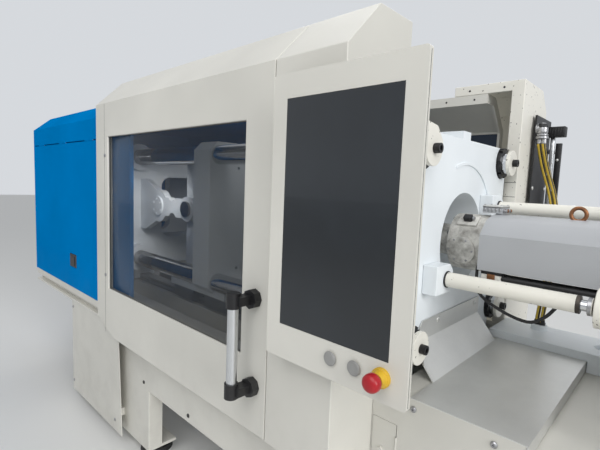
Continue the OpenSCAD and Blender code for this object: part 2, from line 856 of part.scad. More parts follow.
// Half of a split lock nut beside each tie bar, drawn open; its teeth fit the grooves.
module lock_half(side) {
    r_out = tie_d / 2 + 40;
    r_land = tie_d / 2 + 0.6;
    r_tooth = tie_d / 2 - groove_depth + 1;
    w = groove_w - tooth_gap;
    x0 = clamp_block_x0 - seat - lock_t;
    first = groove_pitch * ceil((x0 - groove_x0) / groove_pitch) + groove_x0 - x0;
    color(black)
    at_tie_bars()
        translate([x0, side * lock_travel, 0])
            rotate([0, 90, 0])
                rotate([0, 0, side < 0 ? 180 : 0])
                    rotate_extrude(angle = 180)
                        polygon(concat(
                            [[r_out, 0], [r_out, lock_t], [r_land, lock_t]],
                            [for (i = [2:-1:0], p = [[r_land, w], [r_tooth, w], [r_tooth, tooth_gap], [r_land, tooth_gap]])
                                [p[0], first + groove_pitch * i + p[1]]],
                            [[r_land, 0]]
                        ));
}

module lock_halves_front() {
    lock_half(-1);
}

module lock_halves_rear() {
    lock_half(1);
}

// Rod of the traverse cylinder, with its piston and the nuts at the platen's bracket.
module traverse_rod() {
    color(steel) {
        rod_x(-2150, upright_x0 - 40, 0, traverse_z, 45);
        rod_x(-2180, -2150, 0, traverse_z, 69.8);
        rod_x(upright_x0 - 40, upright_x0, 0, traverse_z, 29.9);
        rod_x(upright_x0, upright_x0 + 30, 0, traverse_z, 50);
    }
}

// Ejector cylinder in the platen's cross bridge.
module ejector_cylinder() {
    color(steel)
    difference() {
        union() {
            rod_x(upright_x0 - 150, upright_x0 + 40, 0, mid, 100);
            rod_x(upright_x0 - 25, upright_x0 - seat, 0, mid, 150);
        }
        rod_x(upright_x0 - 130, upright_x0 + 41, 0, mid, 40 + running_fit);
    }
}

// Ejector plate with its rods and the piston rod behind it.
module ejector_plate() {
    plate_x0 = -1165;
    color(steel)
    union() {
        block([plate_x0, -190, mid - 140], [plate_x0 + 40, 190, mid + 140]);
        rod_x(upright_x0 - 120, plate_x0, 0, mid, 40);
        for (sy = [-1, 1], sz = [-1, 1])
            rod_x(plate_x0 + 40, moving_face_x - 30, sy * 100, mid + sz * 90, 28);
    }
}

/* Guards */

housing_slope = 85;
housing_roof = housing_crease_z + housing_slope;

hinge_d = 10;
hinge_pin_d = 5;
panel_hinge_y = -housing_y + 3;
panel_hinge_z = housing_seam_z - 1;
side_panel_x0 = machine_x0 + 22;
side_panel_x1 = door_x0 - 24;
panel_hinge_xs = [side_panel_x0 + 160, (side_panel_x0 + side_panel_x1) / 2, side_panel_x1 - 160];
flap_knuckle_d = 8;
flap_hinge_x = flap_x1 + 0.75;
flap_hinge_y = -inj_bed_y - inj_front_t + 1;
flap_hinge_zs = [flap_z0 + 70, flap_z1 - 70];

// Body of the clamp housing set in by a wall, with slopes at both sides and the left end.
module housing_body(inset, over) {
    y = housing_y - inset;
    k = inset * tan_half;
    z0 = housing_z0 - over;
    z1 = housing_roof - inset;
    x1 = housing_x1 + over;
    flat_y = housing_y - housing_slope - k;
    intersection() {
        along_x(machine_x0, x1)
            polygon([[-y, z0], [-y, housing_crease_z - k], [-flat_y, z1], [flat_y, z1],
                     [y, housing_crease_z - k], [y, z0]]);
        along_y(-y - 1, y + 1)
            polygon([[machine_x0 + inset, z0], [machine_x0 + inset, housing_crease_z - k],
                     [machine_x0 + housing_slope + k, z1], [x1, z1], [x1, z0]]);
    }
}

// Blue clamp housing: sloped roof, vented end wall, rear wall and the strip behind the door.
module clamp_housing() {
    t = 20;
    color(housing_blue)
    difference() {
        union() {
            difference() {
                housing_body(0, 0);
                housing_body(t, 1);
                block([side_panel_x0 - 2, -housing_y - 1, housing_z0 - 1],
                      [door_x0 - 20, -housing_y + t + 1, housing_seam_z + 2]);
                for (i = [0:7])
                    block([machine_x0 - 1, -250, 1250 + 36 * i], [machine_x0 + t + 1, 250, 1264 + 36 * i]);
            }
            for (x = panel_hinge_xs, s = [-1, 1])
                rod_x(x + s * 41 - 15, x + s * 41 + 15, panel_hinge_y, panel_hinge_z, hinge_d);
        }
        for (x = panel_hinge_xs) {
            rod_x(x - 25.5, x + 25.5, panel_hinge_y, panel_hinge_z, hinge_d + 1);
            rod_x(x - 57, x + 57, panel_hinge_y, panel_hinge_z, hinge_pin_d + running_fit);
        }
    }
}

latch_x = -1931;
latch_z = 880;
latch_w = 110;
latch_h = 76;
latch_pin_z = latch_z + latch_h / 2 - 4;
latch_pin_y = -housing_y + 4;

// Lift-up side panel of the clamp housing, with its hinge knuckles and latch recess.
module clamp_side_panel() {
    z1 = housing_seam_z - 4;
    color(housing_blue)
    difference() {
        union() {
            block([side_panel_x0, -housing_y, housing_z0 + 2], [side_panel_x1, -housing_y + 20, z1]);
            for (x = panel_hinge_xs)
                rod_x(x - 25, x + 25, panel_hinge_y, panel_hinge_z, hinge_d);
        }
        for (x = panel_hinge_xs) {
            for (s = [-1, 1])
                rod_x(x + s * 41 - 15.5, x + s * 41 + 15.5, panel_hinge_y, panel_hinge_z, hinge_d + 1);
            rod_x(x - 26, x + 26, panel_hinge_y, panel_hinge_z, hinge_pin_d + running_fit);
        }
        block([latch_x - latch_w / 2 - 1, -housing_y - 1, latch_z - latch_h / 2 - 3],
              [latch_x + latch_w / 2 + 1, -housing_y + 12, latch_z + latch_h / 2 + 3]);
        rod_x(latch_x - latch_w / 2 - 8, latch_x + latch_w / 2 + 8, latch_pin_y, latch_pin_z, 4 + running_fit);
    }
}

// Black paddle latch with its pivot pin, in the side panel's recess.
module panel_latch() {
    color(black)
    union() {
        block([latch_x - latch_w / 2, -housing_y, latch_z - latch_h / 2],
              [latch_x + latch_w / 2, -housing_y + 8, latch_z + latch_h / 2]);
        block([latch_x - latch_w / 2 + 14, -housing_y - 2, latch_z - latch_h / 2 + 10],
              [latch_x + latch_w / 2 - 30, -housing_y, latch_z + latch_h / 2 - 14]);
        rod_x(latch_x - latch_w / 2 - 7, latch_x + latch_w / 2 + 7, latch_pin_y, latch_pin_z, 4);
    }
}

// Pins of the side panel's and the flap's hinges.
module hinge_pins() {
    color(steel)
    for (x = panel_hinge_xs)
        rod_x(x - 56, x + 56, panel_hinge_y, panel_hinge_z, hinge_pin_d);
    color(steel)
    for (z = flap_hinge_zs)
        rod_z(z - 34, z + 34, flap_hinge_x, flap_hinge_y, hinge_pin_d);
}

// Channel rails of the sliding guards along both beams, with brackets to the bed's end.
module door_rails() {
    color(guard_grey)
    for (s = [-1, 1])
        mirror([0, s < 0 ? 0 : 1, 0]) {
            along_x(machine_x0 + 20, cover_x0 - 8)
                polygon([
                    [-bed_y, slot_z0 - rail_lip], [-housing_y, slot_z0 - rail_lip], [-housing_y, slot_z0],
                    [-housing_y + 30, slot_z0], [-housing_y + 30, slot_z1], [-housing_y, slot_z1],
                    [-housing_y, housing_z0], [-bed_y, housing_z0]
                ]);
            for (x = [machine_x0 + 120, leg_x0 - 80])
                block([x, -bed_y, slot_z0 - rail_lip], [x + 60, -web_y, housing_z0]);
        }
}

roller_gap = 0.3;
roller_d = slot_z1 - slot_z0 - 2 * roller_gap;
roller_z = (slot_z0 + slot_z1) / 2;

// Runner rollers with their studs, from a guard's inner face to the rail slot.
module rollers(x0, x1, inner_y) {
    for (x = [x0 + 100, (x0 + x1) / 2, x1 - 100]) {
        rod_y(-housing_y + 1, -housing_y + 25, x, roller_z, roller_d);
        rod_y(inner_y, -housing_y + 1, x, roller_z, 16);
    }
}

module door_rollers() {
    color(steel)
        rollers(door_x0, door_x1, -guard_y + skin_t);
}

win_x0 = door_x0 + 142;
rebate = 15;

// Folded sliding door: bent section, end plate, bevelled corner, window opening and pane frame.
module operator_door() {
    inner_y = -guard_y + skin_t;
    color(guard_grey)
    difference() {
        union() {
            along_x(door_x0, door_x1)
                guard_section(door_z0);
            along_x(door_x0, door_x0 + 12)
                polygon([
                    [-guard_y, housing_crease_z + 12], [-guard_y, crease_z], [-guard_y + roof_slope, roof_z],
                    [-roof_y, roof_z], [-roof_y, housing_roof + 12], [-housing_y + housing_slope - 5, housing_roof + 12],
                    [-housing_y - 5, housing_crease_z + 12]
                ]);
        }
        along_y(-guard_y - 1, inner_y + 1) {
            translate([win_x0, window_z0])
                square([window_l, window_h]);
            polygon([[door_x0 - 1, door_z0 - 1], [door_x0 + 190, door_z0 - 1], [door_x0 + 190, door_z0],
                     [door_x0, door_z0 + 76], [door_x0 - 1, door_z0 + 76]]);
        }
        block([win_x0 - rebate, inner_y - rebate, window_z0 - rebate],
              [win_x0 + window_l + rebate, inner_y + 1, window_z0 + window_h + rebate]);
    }
    color(guard_grey)
    along_y(inner_y - rebate + pane_t + 2 * seat, inner_y)
        difference() {
            translate([win_x0 - rebate + seat, window_z0 - rebate + seat])
                square([window_l + 2 * (rebate - seat), window_h + 2 * (rebate - seat)]);
            translate([win_x0, window_z0])
                square([window_l, window_h]);
        }
}

// Tinted pane between the door's rebate and the pane frame.
module door_window() {
    edge = rebate - seat;
    y0 = -guard_y + skin_t - rebate + seat;
    color([0.4, 0.45, 0.5, 0.4])
        block([win_x0 - edge, y0, window_z0 - edge],
              [win_x0 + window_l + edge, y0 + pane_t, window_z0 + window_h + edge]);
}

handle_x = door_x1 - 70;
handle_zs = [748, 1036];
handle_y = -panel_y;

// Black handle mounts with their arms.
module handle_brackets() {
    color(black)
    for (z = handle_zs)
        difference() {
            union() {
                translate([handle_x + 12, 0, z])
                    rotate([90, 0, 0])
                        translate([0, 0, guard_y])
                            cylinder(h = 26, d = 62, $fn = 8);
                block([handle_x - 14, handle_y, z - 14], [handle_x + 24, -guard_y - 26, z + 14]);
                rod_z(z - 24, z + 24, handle_x - 10, handle_y, 44);
            }
            rod_z(z == handle_zs[0] ? z - 4 : z - 25, z == handle_zs[0] ? z + 25 : z + 4,
                  handle_x - 10, handle_y, 34 + running_fit);
        }
}

// Aluminium handle tube.
module handle_tube() {
    color([0.8, 0.81, 0.82])
    difference() {
        rod_z(handle_zs[0] - 3, handle_zs[1] + 3, handle_x - 10, handle_y, 34);
        rod_z(handle_zs[0] - 4, handle_zs[1] + 4, handle_x - 10, handle_y, 28);
    }
}

// Fixed guard beside the door: folded section and an end wall cut round platen and bed.
module fixed_cover() {
    wall = 12;
    z0 = door_z0 - 4;
    step_y = platen_w / 2 + 6;
    color(guard_grey)
    union() {
        along_x(cover_x0, cover_x1)
            guard_section(z0);
        along_x(cover_x1 - wall, cover_x1)
            polygon([
                [-guard_y, z0], [-guard_y, crease_z], [-guard_y + roof_slope, roof_z],
                [-roof_y, roof_z], [-roof_y, platen_z1 + 30], [-step_y, platen_z1 + 30],
                [-step_y, 880], [-inj_bed_y - seat, inj_bed_top], [-inj_bed_y - seat, z0]
            ]);
    }
}

/* Operator panel */

// Panel housing: thin face plate with rounded corners, electronics box and support arm.
module panel_housing() {
    y0 = -panel_y;
    color(guard_grey)
    difference() {
        union() {
            along_y(y0, y0 + panel_t)
                rounded_rect(panel_x0, panel_z0, panel_w, panel_h, 8);
            block([panel_x0 + 40, y0 + panel_t, panel_z0 + 90],
                  [panel_x0 + panel_w - 45, y0 + panel_t + 28, panel_z0 + panel_h - 45]);
            block([panel_x0 + 60, y0 + panel_t + 28, panel_z0 + 250],
                  [cover_x1 - 20, -guard_y, panel_z0 + panel_h - 200]);
        }
        block([glass_x0 - seat, y0 - 1, glass_z0 - seat], [glass_x0 + glass_w + seat, y0 + 4, glass_z0 + glass_h + seat]);
        for (x = button_xs)
            rod_y(y0 - 1, y0 + panel_t + 1, x, button_z, 22 + running_fit);
        rod_y(y0 - 1, y0 + panel_t + 1, estop_x, button_z + 3, 22 + running_fit);
    }
}

// Display glass, flush with the panel face.
module display_glass() {
    color([0.05, 0.1, 0.18])
        block([glass_x0, -panel_y + 0.5, glass_z0], [glass_x0 + glass_w, -panel_y + 4, glass_z0 + glass_h]);
}

// Push button: crowned cap and stem.
module push_button(x) {
    color([0.6, 0.61, 0.61])
    union() {
        rod_y(-panel_y - 6, -panel_y - 3, x, button_z, button_d);
        rod_y(-panel_y - 7.5, -panel_y - 6, x, button_z, button_d - 5);
        rod_y(-panel_y - 3, -panel_y + panel_t, x, button_z, 22);
    }
}

module start_button() {
    push_button(button_xs[0]);
}

module stop_button() {
    push_button(button_xs[1]);
}

// Yellow base of the emergency stop.
module estop_base() {
    color([0.93, 0.76, 0.1])
    difference() {
        translate([estop_x, -panel_y, button_z + 3])
            rotate([90, 0, 0])
                union() {
                    cylinder(h = 8, d = 58);
                    translate([0, 0, 8])
                        cylinder(h = 16, d1 = 46, d2 = 34);
                }
        rod_y(-panel_y - 25, -panel_y + 1, estop_x, button_z + 3, 22 + running_fit);
    }
}

// Red mushroom head with its stem.
module estop_head() {
    y1 = -panel_y - 24 - estop_travel - 1;
    color([0.8, 0.05, 0.08])
    union() {
        translate([estop_x, y1, button_z + 3])
            rotate([90, 0, 0])
                rotate_extrude()
                    polygon([
                        [0, 0], [estop_d / 2 - 5, 0], [estop_d / 2, 6], [estop_d / 2, 16],
                        [estop_d / 2 - 4, 22], [estop_d / 2 - 11, 25], [0, 25]
                    ]);
        rod_y(y1, -panel_y + panel_t, estop_x, button_z + 3, 22);
    }
}

/* Rear side */

rear_y = 799;
rear_slope = 87;
rear_x0 = -101;
rear_x1 = 204;
tie_to_wall = 78.5;
rear_in_y = tie_dy / 2 + tie_to_wall;
rear_top = 1876;
rear_lip = 43;
wall_x0 = 152;
sheet_t = 12;
gate_top = 1832;
gate_lip = 42;
gate_x1 = 52;

// Folded roof and side sheet with a lip along its inner edge, as [y, z].
module rear_section(y, z0, slope, top, lip) {
    k = sheet_t * tan_half;
    polygon([
        [y, z0], [y, top - slope], [y - slope, top], [rear_in_y, top], [rear_in_y, top - lip],
        [rear_in_y + sheet_t, top - lip], [rear_in_y + sheet_t, top - sheet_t],
        [y - slope - k, top - sheet_t], [y - sheet_t, top - slope - k], [y - sheet_t, z0]
    ]);
}

// Rear fixed cover: folded sheet closed by a box-edged end wall that stands on the bed.
module rear_cover() {
    z0 = door_z0 - 4;
    color(cream)
    union() {
        along_x(rear_x0, rear_x1)
            rear_section(rear_y, z0, rear_slope, rear_top, rear_lip);
        along_x(rear_x1 - sheet_t, rear_x1)
            polygon([
                [rear_in_y, inj_bed_top], [inj_bed_y + seat, inj_bed_top], [inj_bed_y + seat, z0],
                [rear_y, z0], [rear_y, rear_top - rear_slope], [rear_y - rear_slope, rear_top],
                [rear_in_y, rear_top]
            ]);
        block([wall_x0, rear_in_y, inj_bed_top], [rear_x1, rear_in_y + sheet_t, rear_top]);
    }
}

// Sliding rear gate: folded sheet with a flange at its end, pressed panels and its runner rollers.
module rear_gate() {
    sill_z = inj_bed_top + 10;
    flange_y = guard_y - gate_lip;
    k = gate_lip * tan_half;
    color(guard_grey)
    difference() {
        union() {
            along_x(door_x0, gate_x1)
                rear_section(guard_y, door_z0, roof_slope, gate_top, gate_lip);
            along_x(gate_x1 - sheet_t, gate_x1)
                difference() {
                    polygon([
                        [rear_in_y, sill_z], [housing_y + 5, sill_z], [housing_y + 5, door_z0],
                        [guard_y, door_z0], [guard_y, gate_top - roof_slope],
                        [guard_y - roof_slope, gate_top], [rear_in_y, gate_top]
                    ]);
                    polygon([
                        [rear_in_y - 1, sill_z - 1], [flange_y, sill_z - 1],
                        [flange_y, gate_top - roof_slope - k], [guard_y - roof_slope - k, gate_top - gate_lip],
                        [rear_in_y - 1, gate_top - gate_lip]
                    ]);
                }
        }
        for (z = [900, 1250], x = [door_x0 + 120, door_x0 + 780])
            block([x, guard_y - 4, z], [x + 560, guard_y + 1, z + 300]);
    }
    color(steel)
    mirror([0, 1, 0])
        rollers(door_x0, door_x1, -guard_y + sheet_t);
}

plate_x0 = 215;
hose_d = 16;
hose_pair = 9;
fitting_z = 1640;
gland_z = 858;
hose_end = [350, 400];
hose_route = [
    [246, 590, fitting_z], [246, 590, 1612], [262, 622, 1515], [300, 630, 1391], [325, 602, 1280],
    [345, 520, 1120], [350, 430, 960], [350, 400, 888], [350, 400, gland_z]
];

// Black mounting plate beside the end wall, with its spacers and the hose fitting.
module hose_plate() {
    x1 = plate_x0 + 8;
    color(black)
    difference() {
        union() {
            block([plate_x0, 580, 1100], [x1, 826, 1745]);
            for (y = [640, 760], z = [1250, 1650])
                rod_x(rear_x1, plate_x0, y, z, 24);
            translate([hose_route[0][0], hose_route[0][1], fitting_z])
                rotate_extrude()
                    polygon([
                        [0, 0], [26, 0], [26, 9], [22, 12], [24, 15], [24, 19], [20, 22], [22, 25],
                        [22, 52], [18, 64], [9, 70], [0, 70]
                    ]);
            rod_x(x1, hose_route[0][0], hose_route[0][1], fitting_z + 44, 40);
        }
        for (y = [600, 806], z = [1180, 1420, 1700])
            rod_x(plate_x0 - 1, x1 + 1, y, z, 9);
    }
}

function unit(v) = v / norm(v);

// Point on a smooth curve from b to c, led by a before and d after.
function curve_point(a, b, c, d, t) =
    (2 * b + (c - a) * t + (2 * a - 5 * b + 4 * c - d) * t * t + (3 * b - a - 3 * c + d) * t * t * t) / 2;

// Points along a route, steps to each stretch.
function along_route(r, steps) = concat(
    [for (i = [0:len(r) - 2], j = [0:steps - 1])
        curve_point(r[max(i - 1, 0)], r[i], r[i + 1], r[min(i + 2, len(r) - 1)], j / steps)],
    [r[len(r) - 1]]
);

function heading(r, p, i) =
    i == 0 ? unit(r[1] - r[0]) :
    i == len(p) - 1 ? unit(r[len(r) - 1] - r[len(r) - 2]) :
    unit(p[i + 1] - p[i - 1]);

function ring(c, t, d, sides) = let (a = unit(cross([0, 1, 0], t)), b = cross(t, a))
    [for (k = [0:sides - 1]) c + d / 2 * (cos(360 * k / sides) * a + sin(360 * k / sides) * b)];

// Tube of diameter d along a route.
module hose(r, d, steps, sides = 8) {
    p = along_route(r, steps);
    n = len(p);
    points = [for (i = [0:n - 1]) each ring(p[i], heading(r, p, i), d, sides)];
    start = [for (k = [0:sides - 1]) k];
    end = [for (k = [sides - 1:-1:0]) (n - 1) * sides + k];
    wall = [for (i = [0:n - 2], k = [0:sides - 1]) let (m = (k + 1) % sides)
        each [[i * sides + k, (i + 1) * sides + k, (i + 1) * sides + m],
              [i * sides + k, (i + 1) * sides + m, i * sides + m]]];
    polyhedron(points, concat([start, end], wall));
}

// Pair of striped hoses from the fitting down to the gland on the deck.
module coolant_hoses() {
    color([0.85, 0.7, 0.15])
    for (s = [-1, 1])
        translate([s * hose_pair, 0, 0])
            hose(hose_route, hose_d, 3);
}

/* Injection unit */

inj_rail_x0 = 700;
inj_rail_top = inj_bed_low + 45;
base_x0 = 740;

// Rails of the injection carriage.
module injection_rails() {
    color(steel)
    for (s = [-1, 1])
        along_x(inj_rail_x0, machine_x1 - 40)
            translate([s * 220, inj_bed_low])
                polygon([[-28, 0], [28, 0], [28, 14], [21, 22], [28, 30], [28, 45],
                         [-28, 45], [-28, 30], [-21, 22], [-28, 14]]);
}

feed_x0 = guard_x0 + guard_l;
feed_x1 = 1640;
throat_x = 1480;
throat_d = 56;
base_z0 = inj_rail_top + 30;
base_z1 = inj_rail_top + 90;
bar_y = 200;
bar_d = 56;
drive_x0 = 1660;
mount_x0 = 1045;
base_x1 = drive_x0 + 200 + screw_stroke;

// Carriage: shoes, base plate, feed block with its throat, cylinder mounts and drive bars.
module carriage_base() {
    shoe_half = 28.5;
    color(white)
    difference() {
        union() {
            for (s = [-1, 1], x = [base_x0 + 30, base_x1 - 230])
                block([x, s * 220 - 55, inj_bed_low + 16], [x + 200, s * 220 + 55, base_z0]);
            block([base_x0, -300, base_z0], [base_x1, 300, base_z1]);
            along_x(feed_x0, feed_x1)
                polygon([[-190, base_z1], [190, base_z1], [190, mid + 190], [120, mid + 240],
                         [-120, mid + 240], [-190, mid + 190]]);
            for (s = [-1, 1]) {
                mirror([0, s < 0 ? 1 : 0, 0])
                    block([mount_x0, guard_half + 5, base_z1], [mount_x0 + 50, rod_dy + 68, rod_z_at(s) + 72]);
                rod_x(feed_x1, base_x1, s * bar_y, mid, bar_d);
            }
            block([base_x1 - 40, -bar_y - 40, base_z1], [base_x1, -bar_y + 40, mid + 40]);
            block([base_x1 - 40, bar_y - 40, base_z1], [base_x1, bar_y + 40, mid + 40]);
        }
        for (s = [-1, 1], x = [base_x0 + 30, base_x1 - 230])
            block([x - 1, s * 220 - shoe_half, inj_bed_low + 15], [x + 201, s * 220 + shoe_half, inj_rail_top + seat]);
        for (s = [-1, 1])
            rod_x(mount_x0 - 1, mount_x0 + 51, s * rod_dy, rod_z_at(s), cylinder_d + 2 * seat);
        rod_x(feed_x0 - 1, feed_x1 + 1, 0, mid, barrel_d + running_fit);
        rod_z(mid, mid + 241, throat_x, 0, throat_d);
        rod_z(mid + 90, mid + 241, throat_x, 0, 80);
        for (sx = [-1, 1], sy = [-1, 1])
            rod_z(mid + 215, mid + 241, throat_x + 70 * sx, 70 * sy, 12);
    }
}

barrel_x0 = 150;
nozzle_x0 = -60;
nozzle_d = 48;
adapter_d = 104;
bore_x0 = barrel_x0 + 40;

// Barrel with its nozzle and adapter, bored for the screw, with the feed opening.
module barrel() {
    bore = screw_d + 0.1;
    color([0.35, 0.35, 0.36])
    difference() {
        translate([0, 0, mid])
            rotate([0, 90, 0])
                rotate_extrude()
                    polygon([
                        [0, nozzle_x0], [9, nozzle_x0], [nozzle_d / 2 - 2, nozzle_x0 + 18],
                        [nozzle_d / 2, nozzle_x0 + 30], [nozzle_d / 2, 50], [adapter_d / 2, 62],
                        [adapter_d / 2, barrel_x0], [barrel_d / 2, barrel_x0], [barrel_d / 2, feed_x1], [0, feed_x1]
                    ]);
        rod_x(bore_x0, feed_x1 + 1, 0, mid, bore);
        translate([barrel_x0, 0, mid])
            rotate([0, 90, 0])
                cylinder(h = bore_x0 - barrel_x0 + 1, d1 = 8, d2 = bore);
        rod_x(nozzle_x0 - 1, barrel_x0 + 1, 0, mid, 6);
        rod_z(mid, mid + barrel_d, throat_x, 0, throat_d);
    }
}

// Insulated heater bands: the wide one at the barrel head, six along the barrel, two on the nozzle.
module heater_bands() {
    band_d = barrel_d + 30;
    color([0.55, 0.54, 0.52])
    difference() {
        union() {
            rod_x(barrel_x0 + seat, guard_x0 - 4, 0, mid, barrel_d + 70);
            for (i = [0:5])
                rod_x(guard_x0 + 30 + 150 * i, guard_x0 + 160 + 150 * i, 0, mid, band_d);
        }
        rod_x(barrel_x0, feed_x0, 0, mid, barrel_d + running_fit);
    }
    color(steel)
    difference() {
        rod_x(70, 140, 0, mid, adapter_d + 10);
        rod_x(69, 141, 0, mid, adapter_d + running_fit);
    }
    color(steel)
    difference() {
        rod_x(-20, 35, 0, mid, nozzle_d + 20);
        rod_x(-21, 36, 0, mid, nozzle_d + running_fit);
    }
}

// Corner of a sheet's inner face at an outer corner c between folds at the angles a and b.
function inner_corner(c, a, b, t) =
    let (n = [sin(a), -cos(a)], m = [sin(b), -cos(b)]) c + t * (n + m) / (1 + n * m);

// Barrel guard folded twice at each side, with its terminal box, connector block and lifting ring.
module barrel_guard() {
    t = 4;
    top = mid + 106;
    bottom = mid - 69;
    half = guard_half;
    folds = [[-half, mid + 45], [-half + 48, mid + 89], [-half + 108, top]];
    low_a = atan2(folds[1][1] - folds[0][1], folds[1][0] - folds[0][0]);
    high_a = atan2(folds[2][1] - folds[1][1], folds[2][0] - folds[1][0]);
    outer = concat([[-half, bottom]], folds);
    inner = [
        [-half + t, bottom], inner_corner(folds[0], 90, low_a, t),
        inner_corner(folds[1], low_a, high_a, t), inner_corner(folds[2], high_a, 0, t)
    ];
    color([0.72, 0.73, 0.74])
    union() {
        along_x(guard_x0, feed_x0)
            polygon(concat(
                outer,
                [for (i = [3:-1:0]) [-outer[i][0], outer[i][1]]],
                [for (p = inner) [-p[0], p[1]]],
                [for (i = [3:-1:0]) inner[i]]
            ));
        block([guard_x0 - 38, -37, top + 4], [guard_x0 + 25, 38, top + 30]);
        block([guard_x0 + 2, -26, top - 1], [guard_x0 + 20, 26, top + 5]);
        block([guard_x0 + 15, -half + 1, bottom - 30], [guard_x0 + 75, -half + 57, bottom + 10]);
        translate([guard_x0 + 236, 0, top + 17])
            rotate([90, 0, 0])
                rotate_extrude()
                    translate([20, 0])
                        circle(d = 11);
    }
}

cable_d = 16;
cable_z = mid - 87;
cable_ys = [-145, -125, -105];
sensor_cable_d = 10;
head_r = barrel_d / 2 + 35;
sensor_route = [
    [262, -0.8 * head_r - 0.3, mid - 0.6 * head_r - 0.3], [263, -0.8 * head_r - 26, mid - 0.6 * head_r - 20],
    [290, -150, 1072], [360, -152, 1030], [437, -150, 1012], [480, -150, 1035], [508, -148, 1072],
    [528, -145, 1106], [530, -145, cable_z - cable_d / 2 - 0.3]
];

// Cables of the barrel heaters under the guard, and the head's sensor cable hanging beside them.
module barrel_cables() {
    color(black) {
        for (y = cable_ys)
            rod_x(guard_x0 + 75, feed_x0, y, cable_z, cable_d);
        hose(sensor_route, sensor_cable_d, 3);
    }
}

// Carriage cylinders on the base, each with its gland, end cap and rod bore.
module carriage_cylinders() {
    color(cream)
    at_carriage_rods()
        difference() {
            union() {
                rod_x(cylinder_x0, cylinder_x0 + carriage_stroke + 165, 0, 0, cylinder_d);
                rod_x(cylinder_x0 - gland_l, cylinder_x0, 0, 0, sleeve_d);
            }
            rod_x(cylinder_x0 - gland_l - 1, cylinder_x0 + 41, 0, 0, 30 + running_fit);
            rod_x(cylinder_x0 + 40, cylinder_x0 + carriage_stroke + 145, 0, 0, 80);
        }
}

// Screw drive: sliding thrust plate on the drive bars, gear case and motor.
module screw_drive() {
    color(white)
    difference() {
        union() {
            block([drive_x0, -bar_y - 45, base_z1 + seat], [drive_x0 + 90, bar_y + 45, mid + 200]);
            block([drive_x0 + 90, -155, mid - 170], [drive_x0 + 330, 155, mid + 170]);
            rod_x(drive_x0 + 330, drive_x0 + 560, 0, mid, 250);
        }
        rod_x(drive_x0 - 1, drive_x0 + 300, 0, mid, 70 + running_fit);
        for (s = [-1, 1])
            rod_x(drive_x0 - 1, drive_x0 + 91, s * bar_y, mid, bar_d + running_fit);
    }
}

// Plasticising screw: tip, core, flights as collars, and the drive journal.
module screw() {
    x0 = barrel_x0 + 46;
    color(steel)
    translate([0, 0, mid])
        rotate([0, 90, 0])
            union() {
                rotate_extrude()
                    polygon([
                        [0, x0], [8, x0 + 8], [screw_d / 2 - 6, x0 + 46], [screw_d / 2 - 9, x0 + 60],
                        [screw_d / 2 - 9, 1600], [screw_d / 2, 1604], [screw_d / 2, 1650],
                        [35, 1656], [35, drive_x0 + 280], [0, drive_x0 + 280]
                    ]);
                for (i = [0:23])
                    translate([0, 0, x0 + 70 + 55 * i])
                        cylinder(h = 8, d = screw_d);
            }
}

clamp_bed();
injection_bed();
bed_front_panel();
front_panel_screws();
leg_cover();
levelling_feet();
drip_tray();
rear_deck();
access_flap();
platen_rails();
fixed_platen();
tie_bars();
tie_bar_nuts();
tie_bar_caps();
cap_bolts();
tie_bar_support();
rod_brackets();
rod_sleeves();
carriage_rods();
traverse_cylinder();
moving_platen();
guide_shoes();
side_yokes();
yoke_pins();
clamp_block();
lock_halves_front();
lock_halves_rear();
traverse_rod();
ejector_cylinder();
ejector_plate();
clamp_housing();
clamp_side_panel();
panel_latch();
hinge_pins();
door_rails();
operator_door();
door_rollers();
door_window();
handle_brackets();
handle_tube();
fixed_cover();
panel_housing();
display_glass();
start_button();
stop_button();
estop_base();
estop_head();
rear_cover();
rear_gate();
hose_plate();
coolant_hoses();
injection_rails();
carriage_base();
barrel();
heater_bands();
barrel_guard();
barrel_cables();
carriage_cylinders();
screw_drive();
screw();
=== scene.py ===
"""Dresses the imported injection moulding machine: finishes, rounded edges, small pieces, studio."""

import json
import math

import bpy
from mathutils import Matrix, Vector

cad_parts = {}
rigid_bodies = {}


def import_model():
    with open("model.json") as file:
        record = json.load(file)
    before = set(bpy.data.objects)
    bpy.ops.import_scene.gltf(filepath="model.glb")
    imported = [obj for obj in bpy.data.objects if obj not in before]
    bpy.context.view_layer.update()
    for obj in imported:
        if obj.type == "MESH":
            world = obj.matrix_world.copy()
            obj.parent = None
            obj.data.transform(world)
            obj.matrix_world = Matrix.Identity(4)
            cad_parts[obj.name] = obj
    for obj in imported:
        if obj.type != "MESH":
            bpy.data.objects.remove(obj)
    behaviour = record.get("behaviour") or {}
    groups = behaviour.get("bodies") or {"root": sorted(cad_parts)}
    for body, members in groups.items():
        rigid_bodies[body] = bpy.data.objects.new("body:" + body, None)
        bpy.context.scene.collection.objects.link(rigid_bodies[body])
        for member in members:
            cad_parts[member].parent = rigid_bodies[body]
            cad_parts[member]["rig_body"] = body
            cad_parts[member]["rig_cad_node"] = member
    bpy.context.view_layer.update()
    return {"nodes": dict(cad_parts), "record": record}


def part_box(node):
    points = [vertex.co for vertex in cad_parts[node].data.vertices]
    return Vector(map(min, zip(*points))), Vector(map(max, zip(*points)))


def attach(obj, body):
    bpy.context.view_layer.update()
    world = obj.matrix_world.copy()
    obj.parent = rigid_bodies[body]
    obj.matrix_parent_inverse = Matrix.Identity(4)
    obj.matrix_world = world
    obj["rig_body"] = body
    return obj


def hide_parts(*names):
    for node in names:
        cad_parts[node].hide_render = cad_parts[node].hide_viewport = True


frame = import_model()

bl_info = {
    "name": "Injection moulding machine dressing",
    "version": (1, 0, 0),
    "blender": (4, 5, 0),
    "location": "View3D > Sidebar > Machine",
    "description": "Finishes, rounded edges and small pieces for the injection moulding machine",
    "category": "Object",
}

